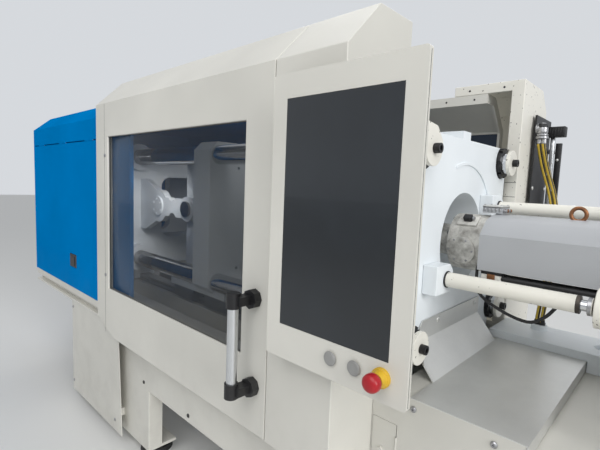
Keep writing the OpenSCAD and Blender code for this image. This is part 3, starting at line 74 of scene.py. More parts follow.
RECORD = frame["record"]
NODES = frame["nodes"]
BODY_OF = {node: body for body, nodes in RECORD["behaviour"]["bodies"].items() for node in nodes}
SLOT_OF = {part["node"]: part["material_slot"] for part in RECORD["subparts"]}
SLOTS = [material["slot"] for material in RECORD["materials"]]

MM = 0.001  # a millimetre in metres: places and sizes below are in mm unless they say metres

MERGE_DISTANCE = 0.00002  # metres; corners nearer than this become one
FLAT_ANGLE = 0.6  # degrees; triangles that meet flatter than this become one face
BEVEL_ANGLE = 30  # degrees; edges sharper than this are rounded
SMOOTH_ANGLE = 38  # degrees; edges flatter than this are shaded smooth
TURNED_ANGLE = 32  # degrees; the same on turned pieces
TUBE_ANGLE = 60  # degrees; the same on tubes

DOOR_FACE = -674  # Y of the operator door's front
LEG_FACE = -640  # Y of the leg cover's front
BED_FACE = -600  # Y of the clamp bed's front
COVER_EDGE = 436  # Y of the inner edges of rear cover and rear gate
PLATE_FACE = 223  # X of the hose plate's outer face
PLATE_SEAT = PLATE_FACE + 0.2  # X where the small pieces on the plate begin
BARREL_HEIGHT = 1215  # Z of the barrel's axis
HEAD_RADIUS = 100  # of the barrel's round head
HOSE_TOP = (246, 590, 1640)  # middle of the hose pair where it leaves the fitting
HOSE_FOOT = (350, 400, 858)  # middle of the hose pair where it meets the deck
HOSE_SHIFTS = (-9, 9)  # X of each hose from the middle of the pair

HOSE_DIAMETER = 0.016  # metres
HEATER_CABLE_DIAMETER = 0.016  # metres
SENSOR_CABLE_DIAMETER = 0.01  # metres

FINE_RELIEF = 0.00006  # metres; depth of orange peel and grain
BRUSHED_RELIEF = 0.00003  # metres; depth of brushed lines


def linear(red, green, blue):
    """Colour given as 0-255 screen values, in Blender's linear light."""
    values = []
    for channel in (red, green, blue):
        c = channel / 255
        values.append(c / 12.92 if c <= 0.04045 else ((c + 0.055) / 1.055) ** 2.4)
    return tuple(values)


def scaled(colour, share):
    """Colour made lighter or darker by a share."""
    return tuple(min(1.0, c * share) for c in colour)


def colour_property(label, about, *screen):
    """Colour that a user may change, with its default as 0-255 screen values."""
    return bpy.props.FloatVectorProperty(
        name=label,
        description=about,
        subtype="COLOR",
        size=3,
        min=0,
        max=1,
        default=linear(*screen),
    )


class MachineColours(bpy.types.PropertyGroup):
    """Colours of the machine's finishes and of the floor."""

    guard: colour_property("Guards", "Warm grey powder coat of guards and beds", 212, 210, 202)
    platen: colour_property("Platens", "Cool white enamel of the castings", 234, 239, 242)
    cream: colour_property("Cream", "Cream enamel of rods, cylinders and rear cover", 234, 231, 221)
    housing: colour_property("Clamp housing", "Saturated blue enamel", 0, 124, 195)
    display: colour_property("Display", "Dark glass of the operator's screen", 26, 31, 36)
    stop_red: colour_property("Stop head", "Red of the emergency stop", 172, 20, 32)
    stop_yellow: colour_property("Stop base", "Yellow of the emergency stop's base", 210, 170, 40)
    hose_yellow: colour_property("Hose yellow", "Yellow of the striped hoses", 206, 176, 60)
    floor: colour_property("Floor", "Pale studio floor", 226, 226, 224)


class MachineSizes(bpy.types.PropertyGroup):
    """Rounding of the edges, and the camera."""

    edge_share: bpy.props.FloatProperty(
        name="Edge rounding",
        description="Share of each part's own edge radius that its edges are rounded to",
        default=1.0,
        min=0.1,
        max=2.0,
        subtype="FACTOR",
    )
    camera_height: bpy.props.FloatProperty(
        name="Eye height",
        description="Height of the camera above the floor",
        default=1.4,
        unit="LENGTH",
    )
    camera_lens: bpy.props.FloatProperty(
        name="Lens",
        description="Focal length of the camera",
        default=24.96,
        min=10,
        unit="CAMERA",
    )


# ---- shader groups ----

FLOAT = "NodeSocketFloat"
COLOUR = "NodeSocketColor"
VECTOR = "NodeSocketVector"
OUTPUTS = {"Colour": COLOUR, "Roughness": FLOAT, "Height": FLOAT}


def feed(tree, target, value):
    """Joins a socket to an input, or writes a plain value into it."""
    if isinstance(value, bpy.types.NodeSocket):
        tree.links.new(value, target)
    else:
        target.default_value = value


def add(tree, kind, inputs=(), **settings):
    """Adds a node; inputs pairs the number or label of an input with a socket or a value."""
    node = tree.nodes.new(kind)
    for key, value in settings.items():
        setattr(node, key, value)
    for key, value in dict(inputs).items():
        feed(tree, node.inputs[key], value)
    return node


def calculate(tree, operation, *values):
    """Result of a maths node."""
    return add(tree, "ShaderNodeMath", enumerate(values), operation=operation).outputs[0]


def remap(tree, value, low, high, first=0.0, last=1.0):
    """Value moved from the range low to high onto the range first to last."""
    return add(tree, "ShaderNodeMapRange", enumerate((value, low, high, first, last))).outputs[0]


def between(tree, share, first, second):
    """Colour between two others, by a share."""
    mix = add(tree, "ShaderNodeMix", {0: share, 6: first, 7: second}, data_type="RGBA")
    return mix.outputs[2]


def brightened(tree, colour, amount):
    """Colour with its brightness times an amount."""
    return add(tree, "ShaderNodeHueSaturation", {"Color": colour, "Value": amount}).outputs[0]


def noise(tree, place, scale, detail, roughness=0.5):
    """Grey value of a noise texture."""
    inputs = {"Vector": place, "Scale": scale, "Detail": detail, "Roughness": roughness}
    return add(tree, "ShaderNodeTexNoise", inputs).outputs["Fac"]


def open_group(name, inputs):
    """Shader group with inputs {label: (type, default)}; gives it, its inputs and the place."""
    tree = bpy.data.node_groups.new(name, "ShaderNodeTree")
    for label, (kind, value) in inputs.items():
        socket = tree.interface.new_socket(name=label, in_out="INPUT", socket_type=kind)
        socket.default_value = value
    for label, kind in OUTPUTS.items():
        tree.interface.new_socket(name=label, in_out="OUTPUT", socket_type=kind)
    place = add(tree, "ShaderNodeTexCoord").outputs["Object"]
    return tree, add(tree, "NodeGroupInput").outputs, place


def close_group(tree, *results):
    """Leads colour, roughness and height to the group's outputs."""
    add(tree, "NodeGroupOutput", zip(OUTPUTS, results))
    return tree


def sprayed_group():
    """Enamel: slow colour drift, orange peel, faint dust towards the floor, and small chips."""
    tree, given, place = open_group(
        "Sprayed enamel",
        {
            "Colour": (COLOUR, (0.8, 0.8, 0.8, 1)),
            "Dust": (COLOUR, (0.35, 0.33, 0.3, 1)),
            "Dust amount": (FLOAT, 0.25),
            "Drift": (FLOAT, 0.06),
            "Chips": (FLOAT, 0.0),
            "Gloss": (FLOAT, 0.42),
        },
    )
    drift = remap(tree, noise(tree, place, scale=1.7, detail=3), 0.35, 0.65, -1.0)
    amount = calculate(tree, "MULTIPLY_ADD", drift, given["Drift"], 1.0)
    tone = brightened(tree, given["Colour"], amount)
    smudge = noise(tree, place, scale=9, detail=6, roughness=0.65)
    height = add(tree, "ShaderNodeSeparateXYZ", {0: place}).outputs["Z"]
    low_down = remap(tree, height, 0.9, 0.05)
    veil = calculate(tree, "MULTIPLY", low_down, remap(tree, smudge, 0.45, 0.75, 0.15))
    dusty = calculate(tree, "MULTIPLY", veil, given["Dust amount"])
    painted = between(tree, dusty, tone, given["Dust"])
    bare = remap(tree, noise(tree, place, scale=70, detail=1), 0.722, 0.75)
    chipped = calculate(tree, "MULTIPLY", bare, given["Chips"])
    colour = between(tree, chipped, painted, (*linear(70, 62, 55), 1))
    rough = calculate(tree, "MULTIPLY_ADD", smudge, 0.22, given["Gloss"])
    peel = noise(tree, place, scale=420, detail=2)
    return close_group(tree, colour, rough, peel)


def brushed_group():
    """Brushed or ground metal: long fine lines along one direction, with smears."""
    tree, given, place = open_group(
        "Brushed lines",
        {
            "Colour": (COLOUR, (0.6, 0.6, 0.6, 1)),
            "Stretch": (VECTOR, (4.0, 300.0, 300.0)),
            "Gloss": (FLOAT, 0.3),
            "Spread": (FLOAT, 0.18),
        },
    )
    drawn_out = add(
        tree, "ShaderNodeVectorMath", {0: place, 1: given["Stretch"]}, operation="MULTIPLY"
    ).outputs[0]
    lines = noise(tree, drawn_out, scale=1, detail=3)
    smear = noise(tree, place, scale=6, detail=5, roughness=0.6)
    colour = brightened(tree, given["Colour"], remap(tree, smear, 0.3, 0.7, 0.93, 1.05))
    both = calculate(tree, "MULTIPLY", lines, smear)
    rough = calculate(tree, "MULTIPLY_ADD", both, given["Spread"], given["Gloss"])
    return close_group(tree, colour, rough, lines)


def grain_group():
    """Moulded or worn surface: mottled between two colours, with a pebbled height."""
    tree, given, place = open_group(
        "Mottled grain",
        {
            "Colour": (COLOUR, (0.1, 0.1, 0.1, 1)),
            "Second": (COLOUR, (0.2, 0.2, 0.2, 1)),
            "Patch size": (FLOAT, 14.0),
            "Grain size": (FLOAT, 500.0),
            "Gloss": (FLOAT, 0.45),
        },
    )
    patch = noise(tree, place, scale=given["Patch size"], detail=6, roughness=0.62)
    inputs = {"Vector": place, "Scale": given["Grain size"]}
    pebbles = add(tree, "ShaderNodeTexVoronoi", inputs, feature="SMOOTH_F1")
    colour = between(tree, remap(tree, patch, 0.4, 0.7), given["Colour"], given["Second"])
    rough = calculate(tree, "MULTIPLY_ADD", patch, 0.25, given["Gloss"])
    return close_group(tree, colour, rough, pebbles.outputs["Distance"])


# ---- materials ----

GROUPS = {}
FINISHES = {}


def principled(material):
    """Surface shader of a material."""
    return material.node_tree.nodes["Principled BSDF"]


def finish_material(name, group, values, relief=FINE_RELIEF, **shader):
    """Material of one Principled shader fed by a shared group."""
    material = bpy.data.materials.new(name + "_finish")
    FINISHES[name] = material
    material.use_nodes = True
    tree = material.node_tree
    surface = principled(material)
    for key, value in shader.items():
        surface.inputs[key.replace("_", " ")].default_value = value
    source = add(tree, "ShaderNodeGroup", node_tree=GROUPS[group])
    for key, value in values.items():
        socket = source.inputs[key]
        socket.default_value = (*value, 1) if socket.type == "RGBA" else value
    inputs = {"Strength": 1.0, "Distance": relief, "Height": source.outputs["Height"]}
    bump = add(tree, "ShaderNodeBump", inputs)
    feed(tree, surface.inputs["Base Color"], source.outputs["Colour"])
    feed(tree, surface.inputs["Roughness"], source.outputs["Roughness"])
    feed(tree, surface.inputs["Normal"], bump.outputs[0])
    return material


def make_materials(colours):
    """Makes every material, named after the record's slots and the small pieces' finishes."""
    GROUPS["spray"] = sprayed_group()
    GROUPS["brushed"] = brushed_group()
    GROUPS["grain"] = grain_group()
    # colour, dust, gloss, chips, specular level
    sprayed = {
        "guard_grey": (colours.guard, 0.3, 0.3, 0, 0.4),
        "machine_white": (colours.platen, 0.3, 0.26, 0, 0.4),
        "cream_paint": (colours.cream, 0.2, 0.24, 0.8, 0.4),
        "housing_blue": (colours.housing, 0.15, 0.2, 0, 0),
        "guard_satin": (linear(170, 172, 175), 0.2, 0.32, 0, 0.4),
        "black_steel": (linear(26, 26, 28), 0.3, 0.32, 0, 0.4),
        # painted shade: dark blue-grey for the shaded inner face of the gate
        "liner_grey": (linear(44, 56, 74), 0.3, 0.4, 0, 0.4),
    }
    for name, (colour, dust, gloss, chips, specular) in sprayed.items():
        values = {"Colour": colour, "Dust amount": dust, "Gloss": gloss, "Chips": chips}
        finish_material(name, "spray", values, Specular_IOR_Level=specular)
    # colour, stretch along X, Y and Z, gloss, metallic share
    brushed = {
        "stainless": (linear(214, 214, 211), (90, 6, 90), 0.37, 0.65),
        "steel": (linear(168, 168, 170), (5, 220, 220), 0.3, 1),
        "chromed_rod": (linear(205, 206, 208), (180, 60, 60), 0.1, 1),
        "aluminium_tube": (linear(214, 216, 218), (400, 400, 12), 0.25, 1),
    }
    for name, (colour, stretch, gloss, metal) in brushed.items():
        values = {"Colour": colour, "Stretch": stretch, "Gloss": gloss}
        finish_material(name, "brushed", values, BRUSHED_RELIEF, Metallic=metal)
    # two colours, patch size, grain size, gloss, metallic share
    red, yellow = colours.stop_red, colours.stop_yellow
    mottled = {
        "button_grey": (linear(150, 150, 148), linear(138, 138, 136), 20, 900, 0.35, 0),
        "stop_red": (red, scaled(red, 0.8), 30, 1200, 0.2, 0),
        "stop_yellow": (yellow, scaled(yellow, 0.85), 30, 900, 0.35, 0),
        "cable_black": (linear(24, 24, 25), linear(40, 40, 42), 40, 700, 0.45, 0),
        "heater_wrap": (linear(218, 216, 210), linear(142, 139, 133), 26, 260, 0.6, 0),
        "dark_steel": (linear(92, 86, 80), linear(56, 54, 54), 9, 300, 0.4, 0.8),
        "worn_copper": (linear(150, 104, 72), linear(92, 64, 48), 40, 500, 0.35, 0.8),
        # painted shade: dark grey for the strips in panel joints and gaps
        "shadow_gap": (linear(52, 51, 49), linear(40, 39, 38), 20, 500, 0.7, 0),
        "foot_rubber": (linear(30, 30, 31), linear(50, 49, 48), 12, 500, 0.6, 0),
    }
    for name, (first, second, patch, grain, gloss, metal) in mottled.items():
        values = mottling(first, second, patch, grain, gloss)
        finish_material(name, "grain", values, Metallic=metal)
    hose_material(colours.hose_yellow)
    glass = colours.display
    screen = mottling(glass, scaled(glass, 1.5), patch=3, grain=5, gloss=0.03)
    finish_material(
        "display_glass", "grain", screen, 0.0, IOR=1.5, Coat_Weight=0.3, Coat_Roughness=0.03
    )
    tint = mottling(linear(20, 30, 40), linear(15, 24, 33), patch=2, grain=5, gloss=0)
    finish_material("window_tint", "grain", tint, 0.0, IOR=1.45, Alpha=0.36)


def mottling(first, second, patch, grain, gloss):
    """Values for the mottled group."""
    return {
        "Colour": first,
        "Second": second,
        "Patch size": patch,
        "Grain size": grain,
        "Gloss": gloss,
    }


def hose_material(yellow):
    """Yellow hose with black stripes along it, drawn on the hose's own girth map."""
    stripes, black_share = 3.0, 0.4
    values = mottling(yellow, scaled(yellow, 0.75), patch=30, grain=500, gloss=0.4)
    material = finish_material("hose_striped", "grain", values)
    tree = material.node_tree
    girth = add(tree, "ShaderNodeUVMap", uv_map="girth").outputs[0]
    around = add(tree, "ShaderNodeSeparateXYZ", {0: girth}).outputs["X"]
    within = calculate(tree, "FRACT", calculate(tree, "MULTIPLY", around, stripes))
    dark = calculate(tree, "LESS_THAN", within, black_share)
    base = principled(material).inputs["Base Color"]
    plain = base.links[0].from_socket
    feed(tree, base, between(tree, dark, plain, (*linear(30, 29, 26), 1)))


# ---- shaping ----


def pick_only(piece):
    """Selects one piece, as every operator below works on what is selected."""
    bpy.ops.object.select_all(action="DESELECT")
    piece.select_set(True)
    bpy.context.view_layer.objects.active = piece


def fix_place(piece):
    """Moves the piece's place, turn and scale into its mesh."""
    pick_only(piece)
    bpy.ops.object.transform_apply(location=True, rotation=True, scale=True)


def paint(piece, material):
    """Gives the piece one finish in place of those it had."""
    piece.data.materials.clear()
    piece.data.materials.append(FINISHES[material])


def settle(piece, body, material, replaced=()):
    """Paints a piece, lets it ride on its body and hides the nodes that it stands for."""
    fix_place(piece)
    paint(piece, material)
    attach(piece, body)
    if material in SLOTS:
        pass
    elif replaced:
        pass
    else:
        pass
    if replaced:
        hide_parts(*replaced)


def edit_all(piece):
    """Opens the piece in edit mode with all its faces selected."""
    pick_only(piece)
    bpy.ops.object.mode_set(mode="EDIT")
    bpy.ops.mesh.select_mode(type="FACE")
    bpy.ops.mesh.select_all(action="SELECT")


def smooth(piece, angle=SMOOTH_ANGLE):
    """Shades the piece smoothly over edges flatter than an angle in degrees."""
    pick_only(piece)
    bpy.ops.object.shade_smooth_by_angle(angle=math.radians(angle))


def round_edges(piece, radius):
    """Bevels the sharp edges and keeps the flat faces flat in the shading."""
    pick_only(piece)
    bevel = piece.modifiers.new("edges", "BEVEL")
    bevel.width = radius
    bevel.segments = 2
    bevel.limit_method = "ANGLE"
    bevel.angle_limit = math.radians(BEVEL_ANGLE)
    bpy.ops.object.modifier_apply(modifier="edges")
    smooth(piece)
    flat = piece.modifiers.new("flat_faces", "WEIGHTED_NORMAL")
    flat.keep_sharp = True
    bpy.ops.object.modifier_apply(modifier="flat_faces")


def rounded_copy(node, radius):
    """Copy of a carried-over part with its triangles merged into faces and its edges rounded."""
    piece = copy_of(NODES[node], node + "_finish")
    piece.parent = None
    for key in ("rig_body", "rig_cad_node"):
        if key in piece:
            del piece[key]
    edit_all(piece)
    bpy.ops.mesh.remove_doubles(threshold=MERGE_DISTANCE)
    bpy.ops.mesh.dissolve_limited(angle_limit=math.radians(FLAT_ANGLE))
    bpy.ops.object.mode_set(mode="OBJECT")
    round_edges(piece, radius)
    settle(piece, BODY_OF[node], SLOT_OF[node], [node])


def block(name, low, high, edge, segments=2):
    """Block between two corners, with every edge bevelled."""
    centre = [(a + b) / 2 * MM for a, b in zip(low, high)]
    size = [(b - a) * MM for a, b in zip(low, high)]
    bpy.ops.object.select_all(action="DESELECT")
    bpy.ops.mesh.primitive_cube_add(size=1, location=centre, scale=size)
    piece = bpy.context.object
    piece.name = name
    fix_place(piece)
    edit_all(piece)
    bpy.ops.mesh.bevel(offset=edge * MM, segments=segments, affect="EDGES")
    bpy.ops.object.mode_set(mode="OBJECT")
    smooth(piece)
    return piece


def turned(name, rings, centre=(0, 0, 0), normal=(0, 0, 1), sides=32):
    """Round piece pulled up ring by ring, each ring a radius and a height, stood on a point."""
    (first_radius, first_height), *_ = rings
    bpy.ops.object.select_all(action="DESELECT")
    bpy.ops.mesh.primitive_circle_add(
        vertices=sides,
        radius=first_radius * MM,
        fill_type="NGON",
        location=(0, 0, first_height * MM),
    )
    piece = bpy.context.object
    piece.name = name
    fix_place(piece)
    edit_all(piece)
    for (r0, h0), (r1, h1) in zip(rings, rings[1:]):
        bpy.ops.mesh.extrude_region_move(TRANSFORM_OT_translate={"value": (0, 0, (h1 - h0) * MM)})
        if r1 != r0:
            share = r1 / r0
            bpy.ops.transform.resize(value=(share, share, 1), center_override=(0, 0, h1 * MM))
    bpy.ops.mesh.select_all(action="SELECT")
    bpy.ops.mesh.normals_make_consistent(inside=False)
    bpy.ops.object.mode_set(mode="OBJECT")
    place(piece, centre, normal)
    smooth(piece, TURNED_ANGLE)
    return piece


def place(piece, centre, normal):
    """Stands a piece drawn along +Z on a point, facing along a direction."""
    turn = Vector(normal).to_track_quat("Z", "Y").to_matrix().to_4x4()
    piece.matrix_world = Matrix.Translation(Vector(centre) * MM) @ turn
    fix_place(piece)


def copy_of(piece, name):
    """Copy with its own mesh."""
    twin = piece.copy()
    twin.data = piece.data.copy()
    twin.name = name
    bpy.context.scene.collection.objects.link(twin)
    return twin


def repeat(pattern, name, body, spots):
    """Numbered copies of a pattern, each at a place, facing a way, in a material."""
    for number, (centre, normal, material) in enumerate(spots):
        twin = copy_of(pattern, f"{name}_{number}")
        place(twin, centre, normal)
        settle(twin, body, material)
    bpy.data.objects.remove(pattern)


def circle(centre, across, up, radius, count, first=0.0):
    """Evenly spaced places on a circle spanned by two directions, from a first angle in degrees."""
    turns = [math.radians(first + 360 * step / count) for step in range(count)]
    return [centre + radius * (math.cos(turn) * across + math.sin(turn) * up) for turn in turns]


def corners_mm(node):
    """Lowest and highest corners of a node at rest."""
    return [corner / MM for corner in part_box(node)]


def curve_point(a, b, c, d, t):
    """Point on a smooth curve from b to c, led by a before and d after."""
    square = 2 * a - 5 * b + 4 * c - d
    cube = 3 * b - a - 3 * c + d
    return (2 * b + (c - a) * t + square * t**2 + cube * t**3) / 2


def along(route, steps):
    """Points in metres on a smooth curve through a route given in mm."""
    knots = [Vector(p) * MM for p in route]
    points = []
    for i in range(len(knots) - 1):
        before, after = knots[max(i - 1, 0)], knots[min(i + 2, len(knots) - 1)]
        points += [
            curve_point(before, knots[i], knots[i + 1], after, j / steps) for j in range(steps)
        ]
    return points + [knots[-1]]


def tube(name, points, diameter, sides):
    """Closed tube along points in metres, with a map of its girth; gives it and its length."""
    last = len(points) - 1
    heading = [
        (points[min(i + 1, last)] - points[max(i - 1, 0)]).normalized() for i in range(last + 1)
    ]
    side = heading[0].orthogonal().normalized()
    spots, faces, reach, run = [], [], [], 0.0
    for i, (spot, ahead) in enumerate(zip(points, heading)):
        side = (side - ahead * side.dot(ahead)).normalized()
        other = ahead.cross(side)
        if i:
            run += (spot - points[i - 1]).length
        reach.append(run)
        for k in range(sides):
            turn = 2 * math.pi * k / sides
            spots.append(spot + diameter / 2 * (math.cos(turn) * side + math.sin(turn) * other))
    for i in range(last):
        near, far = i * sides, (i + 1) * sides
        for k in range(sides):
            m = (k + 1) % sides
            faces.append((near + k, near + m, far + m, far + k))
    faces.append(tuple(range(sides - 1, -1, -1)))
    faces.append(tuple(last * sides + k for k in range(sides)))
    mesh = bpy.data.meshes.new(name)
    mesh.from_pydata(spots, [], faces)
    girth_map = mesh.uv_layers.new(name="girth")
    for face in mesh.polygons:
        corners = [mesh.loops[j].vertex_index for j in face.loop_indices]
        closes = {c % sides for c in corners} == {0, sides - 1}
        for j, corner in zip(face.loop_indices, corners):
            girth = sides if closes and corner % sides == 0 else corner % sides
            girth_map.data[j].uv = (girth / sides, reach[corner // sides])
    piece = bpy.data.objects.new(name, mesh)
    bpy.context.scene.collection.objects.link(piece)
    smooth(piece, TUBE_ANGLE)
    return piece, run


def cord(name, points, diameter, body, material, node, sides):
    """Hanging hose or cable that stands for a node; its far end goes into the machine again."""
    piece, run = tube(name, points, diameter, sides)
    settle(piece, body, material, [node])


class MachineStep:
    """What the operators that change pieces share."""

    bl_options = {"REGISTER", "UNDO"}


# ---- carried-over parts ----


class RoundedNodes(MachineStep):
    """Shared work of the operators that round the edges of carried-over parts, by radius."""

    parts = {}

    def execute(self, context):
        share = context.scene.machine_sizes.edge_share
        for node, radius in self.parts.items():
            rounded_copy(node, radius * MM * share)
        return {"FINISHED"}


class MACHINE_OT_guards(RoundedNodes, bpy.types.Operator):
    """Rounds the folded guards, their rails and the rear side."""

    bl_idname = "machine.guards"
    bl_label = "Guards"
    parts = {"operator_door": 3, "fixed_cover": 3, "rear_cover": 3, "rear_gate": 3, "door_rails": 2}


class MACHINE_OT_housing(RoundedNodes, bpy.types.Operator):
    """Rounds the blue clamp housing and its side panel."""

    bl_idname = "machine.housing"
    bl_label = "Clamp housing"
    parts = {"clamp_housing": 3, "clamp_side_panel": 3}


class MACHINE_OT_beds(RoundedNodes, bpy.types.Operator):
    """Rounds the beds, their covers, the tray and the deck."""

    bl_idname = "machine.beds"
    bl_label = "Beds"
    parts = {
        "clamp_bed": 4,
        "injection_bed": 3,
        "bed_front_panel": 0.8,
        "leg_cover": 0.8,
        "drip_tray": 0.8,
        "rear_deck": 3,
        "access_flap": 0.8,
    }


class MACHINE_OT_castings(RoundedNodes, bpy.types.Operator):
    """Rounds the platens, brackets and other castings."""

    bl_idname = "machine.castings"
    bl_label = "Castings"
    parts = {
        "fixed_platen": 5,
        "moving_platen": 4,
        "clamp_block": 4,
        "tie_bar_support": 4,
        "side_yokes": 3,
        "rod_brackets": 4,
        "carriage_base": 4,
        "screw_drive": 4,
    }


class MACHINE_OT_fittings(RoundedNodes, bpy.types.Operator):
    """Rounds caps, bolts, cylinders, brackets and the operator panel."""

    bl_idname = "machine.fittings"
    bl_label = "Fittings"
    parts = {
        "tie_bar_caps": 1.5,
        "tie_bar_nuts": 1.5,
        "cap_bolts": 1.2,
        "rod_sleeves": 1,
        "carriage_cylinders": 3,
        "handle_brackets": 2,
        "handle_tube": 0.8,
        "panel_housing": 2.5,
        "display_glass": 0.8,
        "hose_plate": 1,
        "barrel_guard": 1,
        "panel_latch": 1,
        "start_button": 0.8,
        "stop_button": 0.8,
        "front_panel_screws": 0.5,
    }


# ---- small pieces ----


class MACHINE_OT_hoses(MachineStep, bpy.types.Operator):
    """Pair of striped hoses from the fitting on the plate to the glands on the deck."""

    bl_idname = "machine.hoses"
    bl_label = "Hoses"

    def execute(self, context):
        route = [
            HOSE_TOP,
            (246, 590, 1612),
            (262, 622, 1515),
            (300, 630, 1391),
            (325, 602, 1280),
            (345, 520, 1120),
            (350, 430, 960),
            (350, 400, 888),
            HOSE_FOOT,
        ]
        for name, shift in zip(("hose_left", "hose_right"), HOSE_SHIFTS):
            points = along([(x + shift, y, z) for x, y, z in route], steps=5)
            cord(name, points, HOSE_DIAMETER, "frame", "hose_striped", "coolant_hoses", sides=14)
        return {"FINISHED"}


class MACHINE_OT_cables(MachineStep, bpy.types.Operator):
    """Heater cables under the barrel guard and the sensor cable that hangs beside them."""

    bl_idname = "machine.cables"
    bl_label = "Cables"

    def execute(self, context):
        for number, y in enumerate((-145, -125, -105)):
            points = along([(x, y, 1128) for x in (354, 676, 998, 1319)], steps=2)
            self.lay(f"heater_cable_{number}", points, HEATER_CABLE_DIAMETER)
        route = [
            (262, -80.3, 1154.7),
            (263, -106.3, 1134.7),
            (290, -150, 1072),
            (360, -152, 1030),
            (437, -150, 1012),
            (480, -150, 1035),
            (508, -148, 1072),
            (528, -145, 1106),
            (530, -145, 1119.7),
        ]
        self.lay("sensor_cable", along(route, steps=5), SENSOR_CABLE_DIAMETER)
        return {"FINISHED"}

    def lay(self, name, points, diameter):
        """Black cable that rides on the carriage."""
        cord(name, points, diameter, "carriage", "cable_black", "barrel_cables", sides=12)


class MACHINE_OT_screws(MachineStep, bpy.types.Operator):
    """Button-head screws on door, leg cover, beds, rear cover and gate, hose plate and tray."""

    bl_idname = "machine.screws"
    bl_label = "Screws"

    def execute(self, context):
        rings = [(9, 0), (9, 1.6), (7.8, 3.0), (5.2, 3.9), (3.1, 4.2), (3.0, 1.0)]
        half_size = [(radius / 2, height / 2) for radius, height in rings]
        large = turned("screw_pattern", rings, sides=20)
        small = turned("small_screw_pattern", half_size, sides=16)
        front, side = (0, -1, 0), (1, 0, 0)
        screws = [
            (large, "door", (-1366, DOOR_FACE, 900), front, "steel"),
            (large, "door", (-1366, DOOR_FACE, 1500), front, "steel"),
            (large, "frame", (-1952, LEG_FACE, 118), front, "steel"),
            (large, "frame", (-1952, LEG_FACE, 590), front, "steel"),
            (large, "frame", (-1345, LEG_FACE, 118), front, "steel"),
            (large, "frame", (-1101, BED_FACE, 402), front, "black_steel"),
            (large, "frame", (-700, BED_FACE, 402), front, "black_steel"),
            (small, "frame", (-30, COVER_EDGE, 1852), front, "black_steel"),
            (small, "frame", (120, COVER_EDGE, 1852), front, "black_steel"),
            (small, "gate", (-139, COVER_EDGE, 1811), front, "black_steel"),
            (small, "gate", (-6, COVER_EDGE, 1811), front, "black_steel"),
        ]
        plate_screws = [(PLATE_FACE, y, z) for y in (600, 806) for z in (1180, 1420, 1700)]
        tray_screws = [(165, y, 952) for y in (-160, 165)]
        screws += [(large, "frame", spot, side, "stainless") for spot in plate_screws + tray_screws]
        for number, (pattern, body, spot, facing, material) in enumerate(screws):
            screw = copy_of(pattern, f"screw_{number:02d}")
            place(screw, spot, facing)
            settle(screw, body, material)
        bpy.data.objects.remove(large)
        bpy.data.objects.remove(small)
        return {"FINISHED"}


class MACHINE_OT_door_details(MachineStep, bpy.types.Operator):
    """Painted shade strip along the door's stile, window pane and edge seal of the door; a sheet of
    painted shade inside the gate and a cream lining inside the cover.
    """

    bl_idname = "machine.door_details"
    bl_label = "Door details"

    def execute(self, context):
        # Painted shade: a thin dark strip stands for the shade in the joint along the door's stile.
        seam_shade = block(
            "door_stile_seam_shade",
            (-1372.6, DOOR_FACE - 0.4, 600),
            (-1371, DOOR_FACE + 0.4, 1748),
            edge=0.3,
            segments=1,
        )
        settle(seam_shade, "door", "shadow_gap")
        low, high = corners_mm("door_window")
        pane = block("window_pane", low, high, edge=0.8)
        settle(pane, "door", "window_tint", ["door_window"])
        # The gate's dark blue-grey sheet is painted shade on its inner face; the cover's lining is
        # its own cream paint.
        for name, low, high, body, material in (
            ("gate_shade_sheet", (-1470, 659.6, 640), (36, 661.8, 1680), "gate", "liner_grey"),
            ("cover_liner", (-96, 784.6, 640), (188, 786.8, 1770), "frame", "cream_paint"),
        ):
            settle(block(name, low, high, edge=0.6, segments=1), body, material)
        seal = block("door_edge_seal", (-147.5, -668, 640), (-145.2, -656, 1745), edge=0.8)
        settle(seal, "door", "cable_black")
        return {"FINISHED"}


class MACHINE_OT_panel_details(MachineStep, bpy.types.Operator):
    """Shadow gaps along the operator panel's edges, and the head and base of the emergency stop."""

    bl_idname = "machine.panel_details"
    bl_label = "Panel details"

    def execute(self, context):
        self.shadow_gaps()
        self.emergency_stop()
        return {"FINISHED"}

    def shadow_gaps(self):
        """Painted shade: thin dark strips sunk into the four edges of the housing, short of its
        corners.
        """
        sunk, proud, short, wide = 0.2, 0.25, 9, 1.6
        (x0, y0, z0), (x1, _, z1) = corners_mm("panel_housing")
        front = y0 + 6
        back = front + wide
        for name, low, high in (
            ("right", (x1 - sunk, front, z0 + short), (x1 + proud, back, z1 - short)),
            ("left", (x0 - proud, front, z0 + short), (x0 + sunk, back, z1 - short)),
            ("top", (x0 + short, front, z1 - sunk), (x1 - short, back, z1 + proud)),
            ("foot", (x0 + short, front, z0 - proud), (x1 - short, back, z0 + sunk)),
        ):
            gap_shade = block(f"panel_gap_shade_{name}", low, high, edge=0.15, segments=1)
            settle(gap_shade, "frame", "shadow_gap")

    def emergency_stop(self):
        """Rounded head, and the narrow stepped base under it."""
        low, high = corners_mm("estop_head")
        x, _, z = (low + high) / 2
        rings = [
            (19, 0),
            (20.6, 2.5),
            (21, 6),
            (21, 12),
            (20.2, 17),
            (18, 20.5),
            (13, 23.6),
            (7, 25),
            (1.5, 25.3),
        ]
        foot = low[1] + rings[-1][1]
        head = turned("stop_button_head", rings, (x, foot, z), (0, -1, 0), sides=40)
        settle(head, "estop", "stop_red", ["estop_head"])
        foot = corners_mm("estop_base")[1][1]
        rings = [
            (13, 0),
            (23, 0),
            (23, 7),
            (22, 8),
            (20.4, 8.6),
            (17.2, 23.4),
            (16.4, 24),
            (13, 24),
        ]
        base = turned("stop_button_base", rings, (x, foot, z), (0, -1, 0), sides=40)
        settle(base, "frame", "stop_yellow", ["estop_base"])


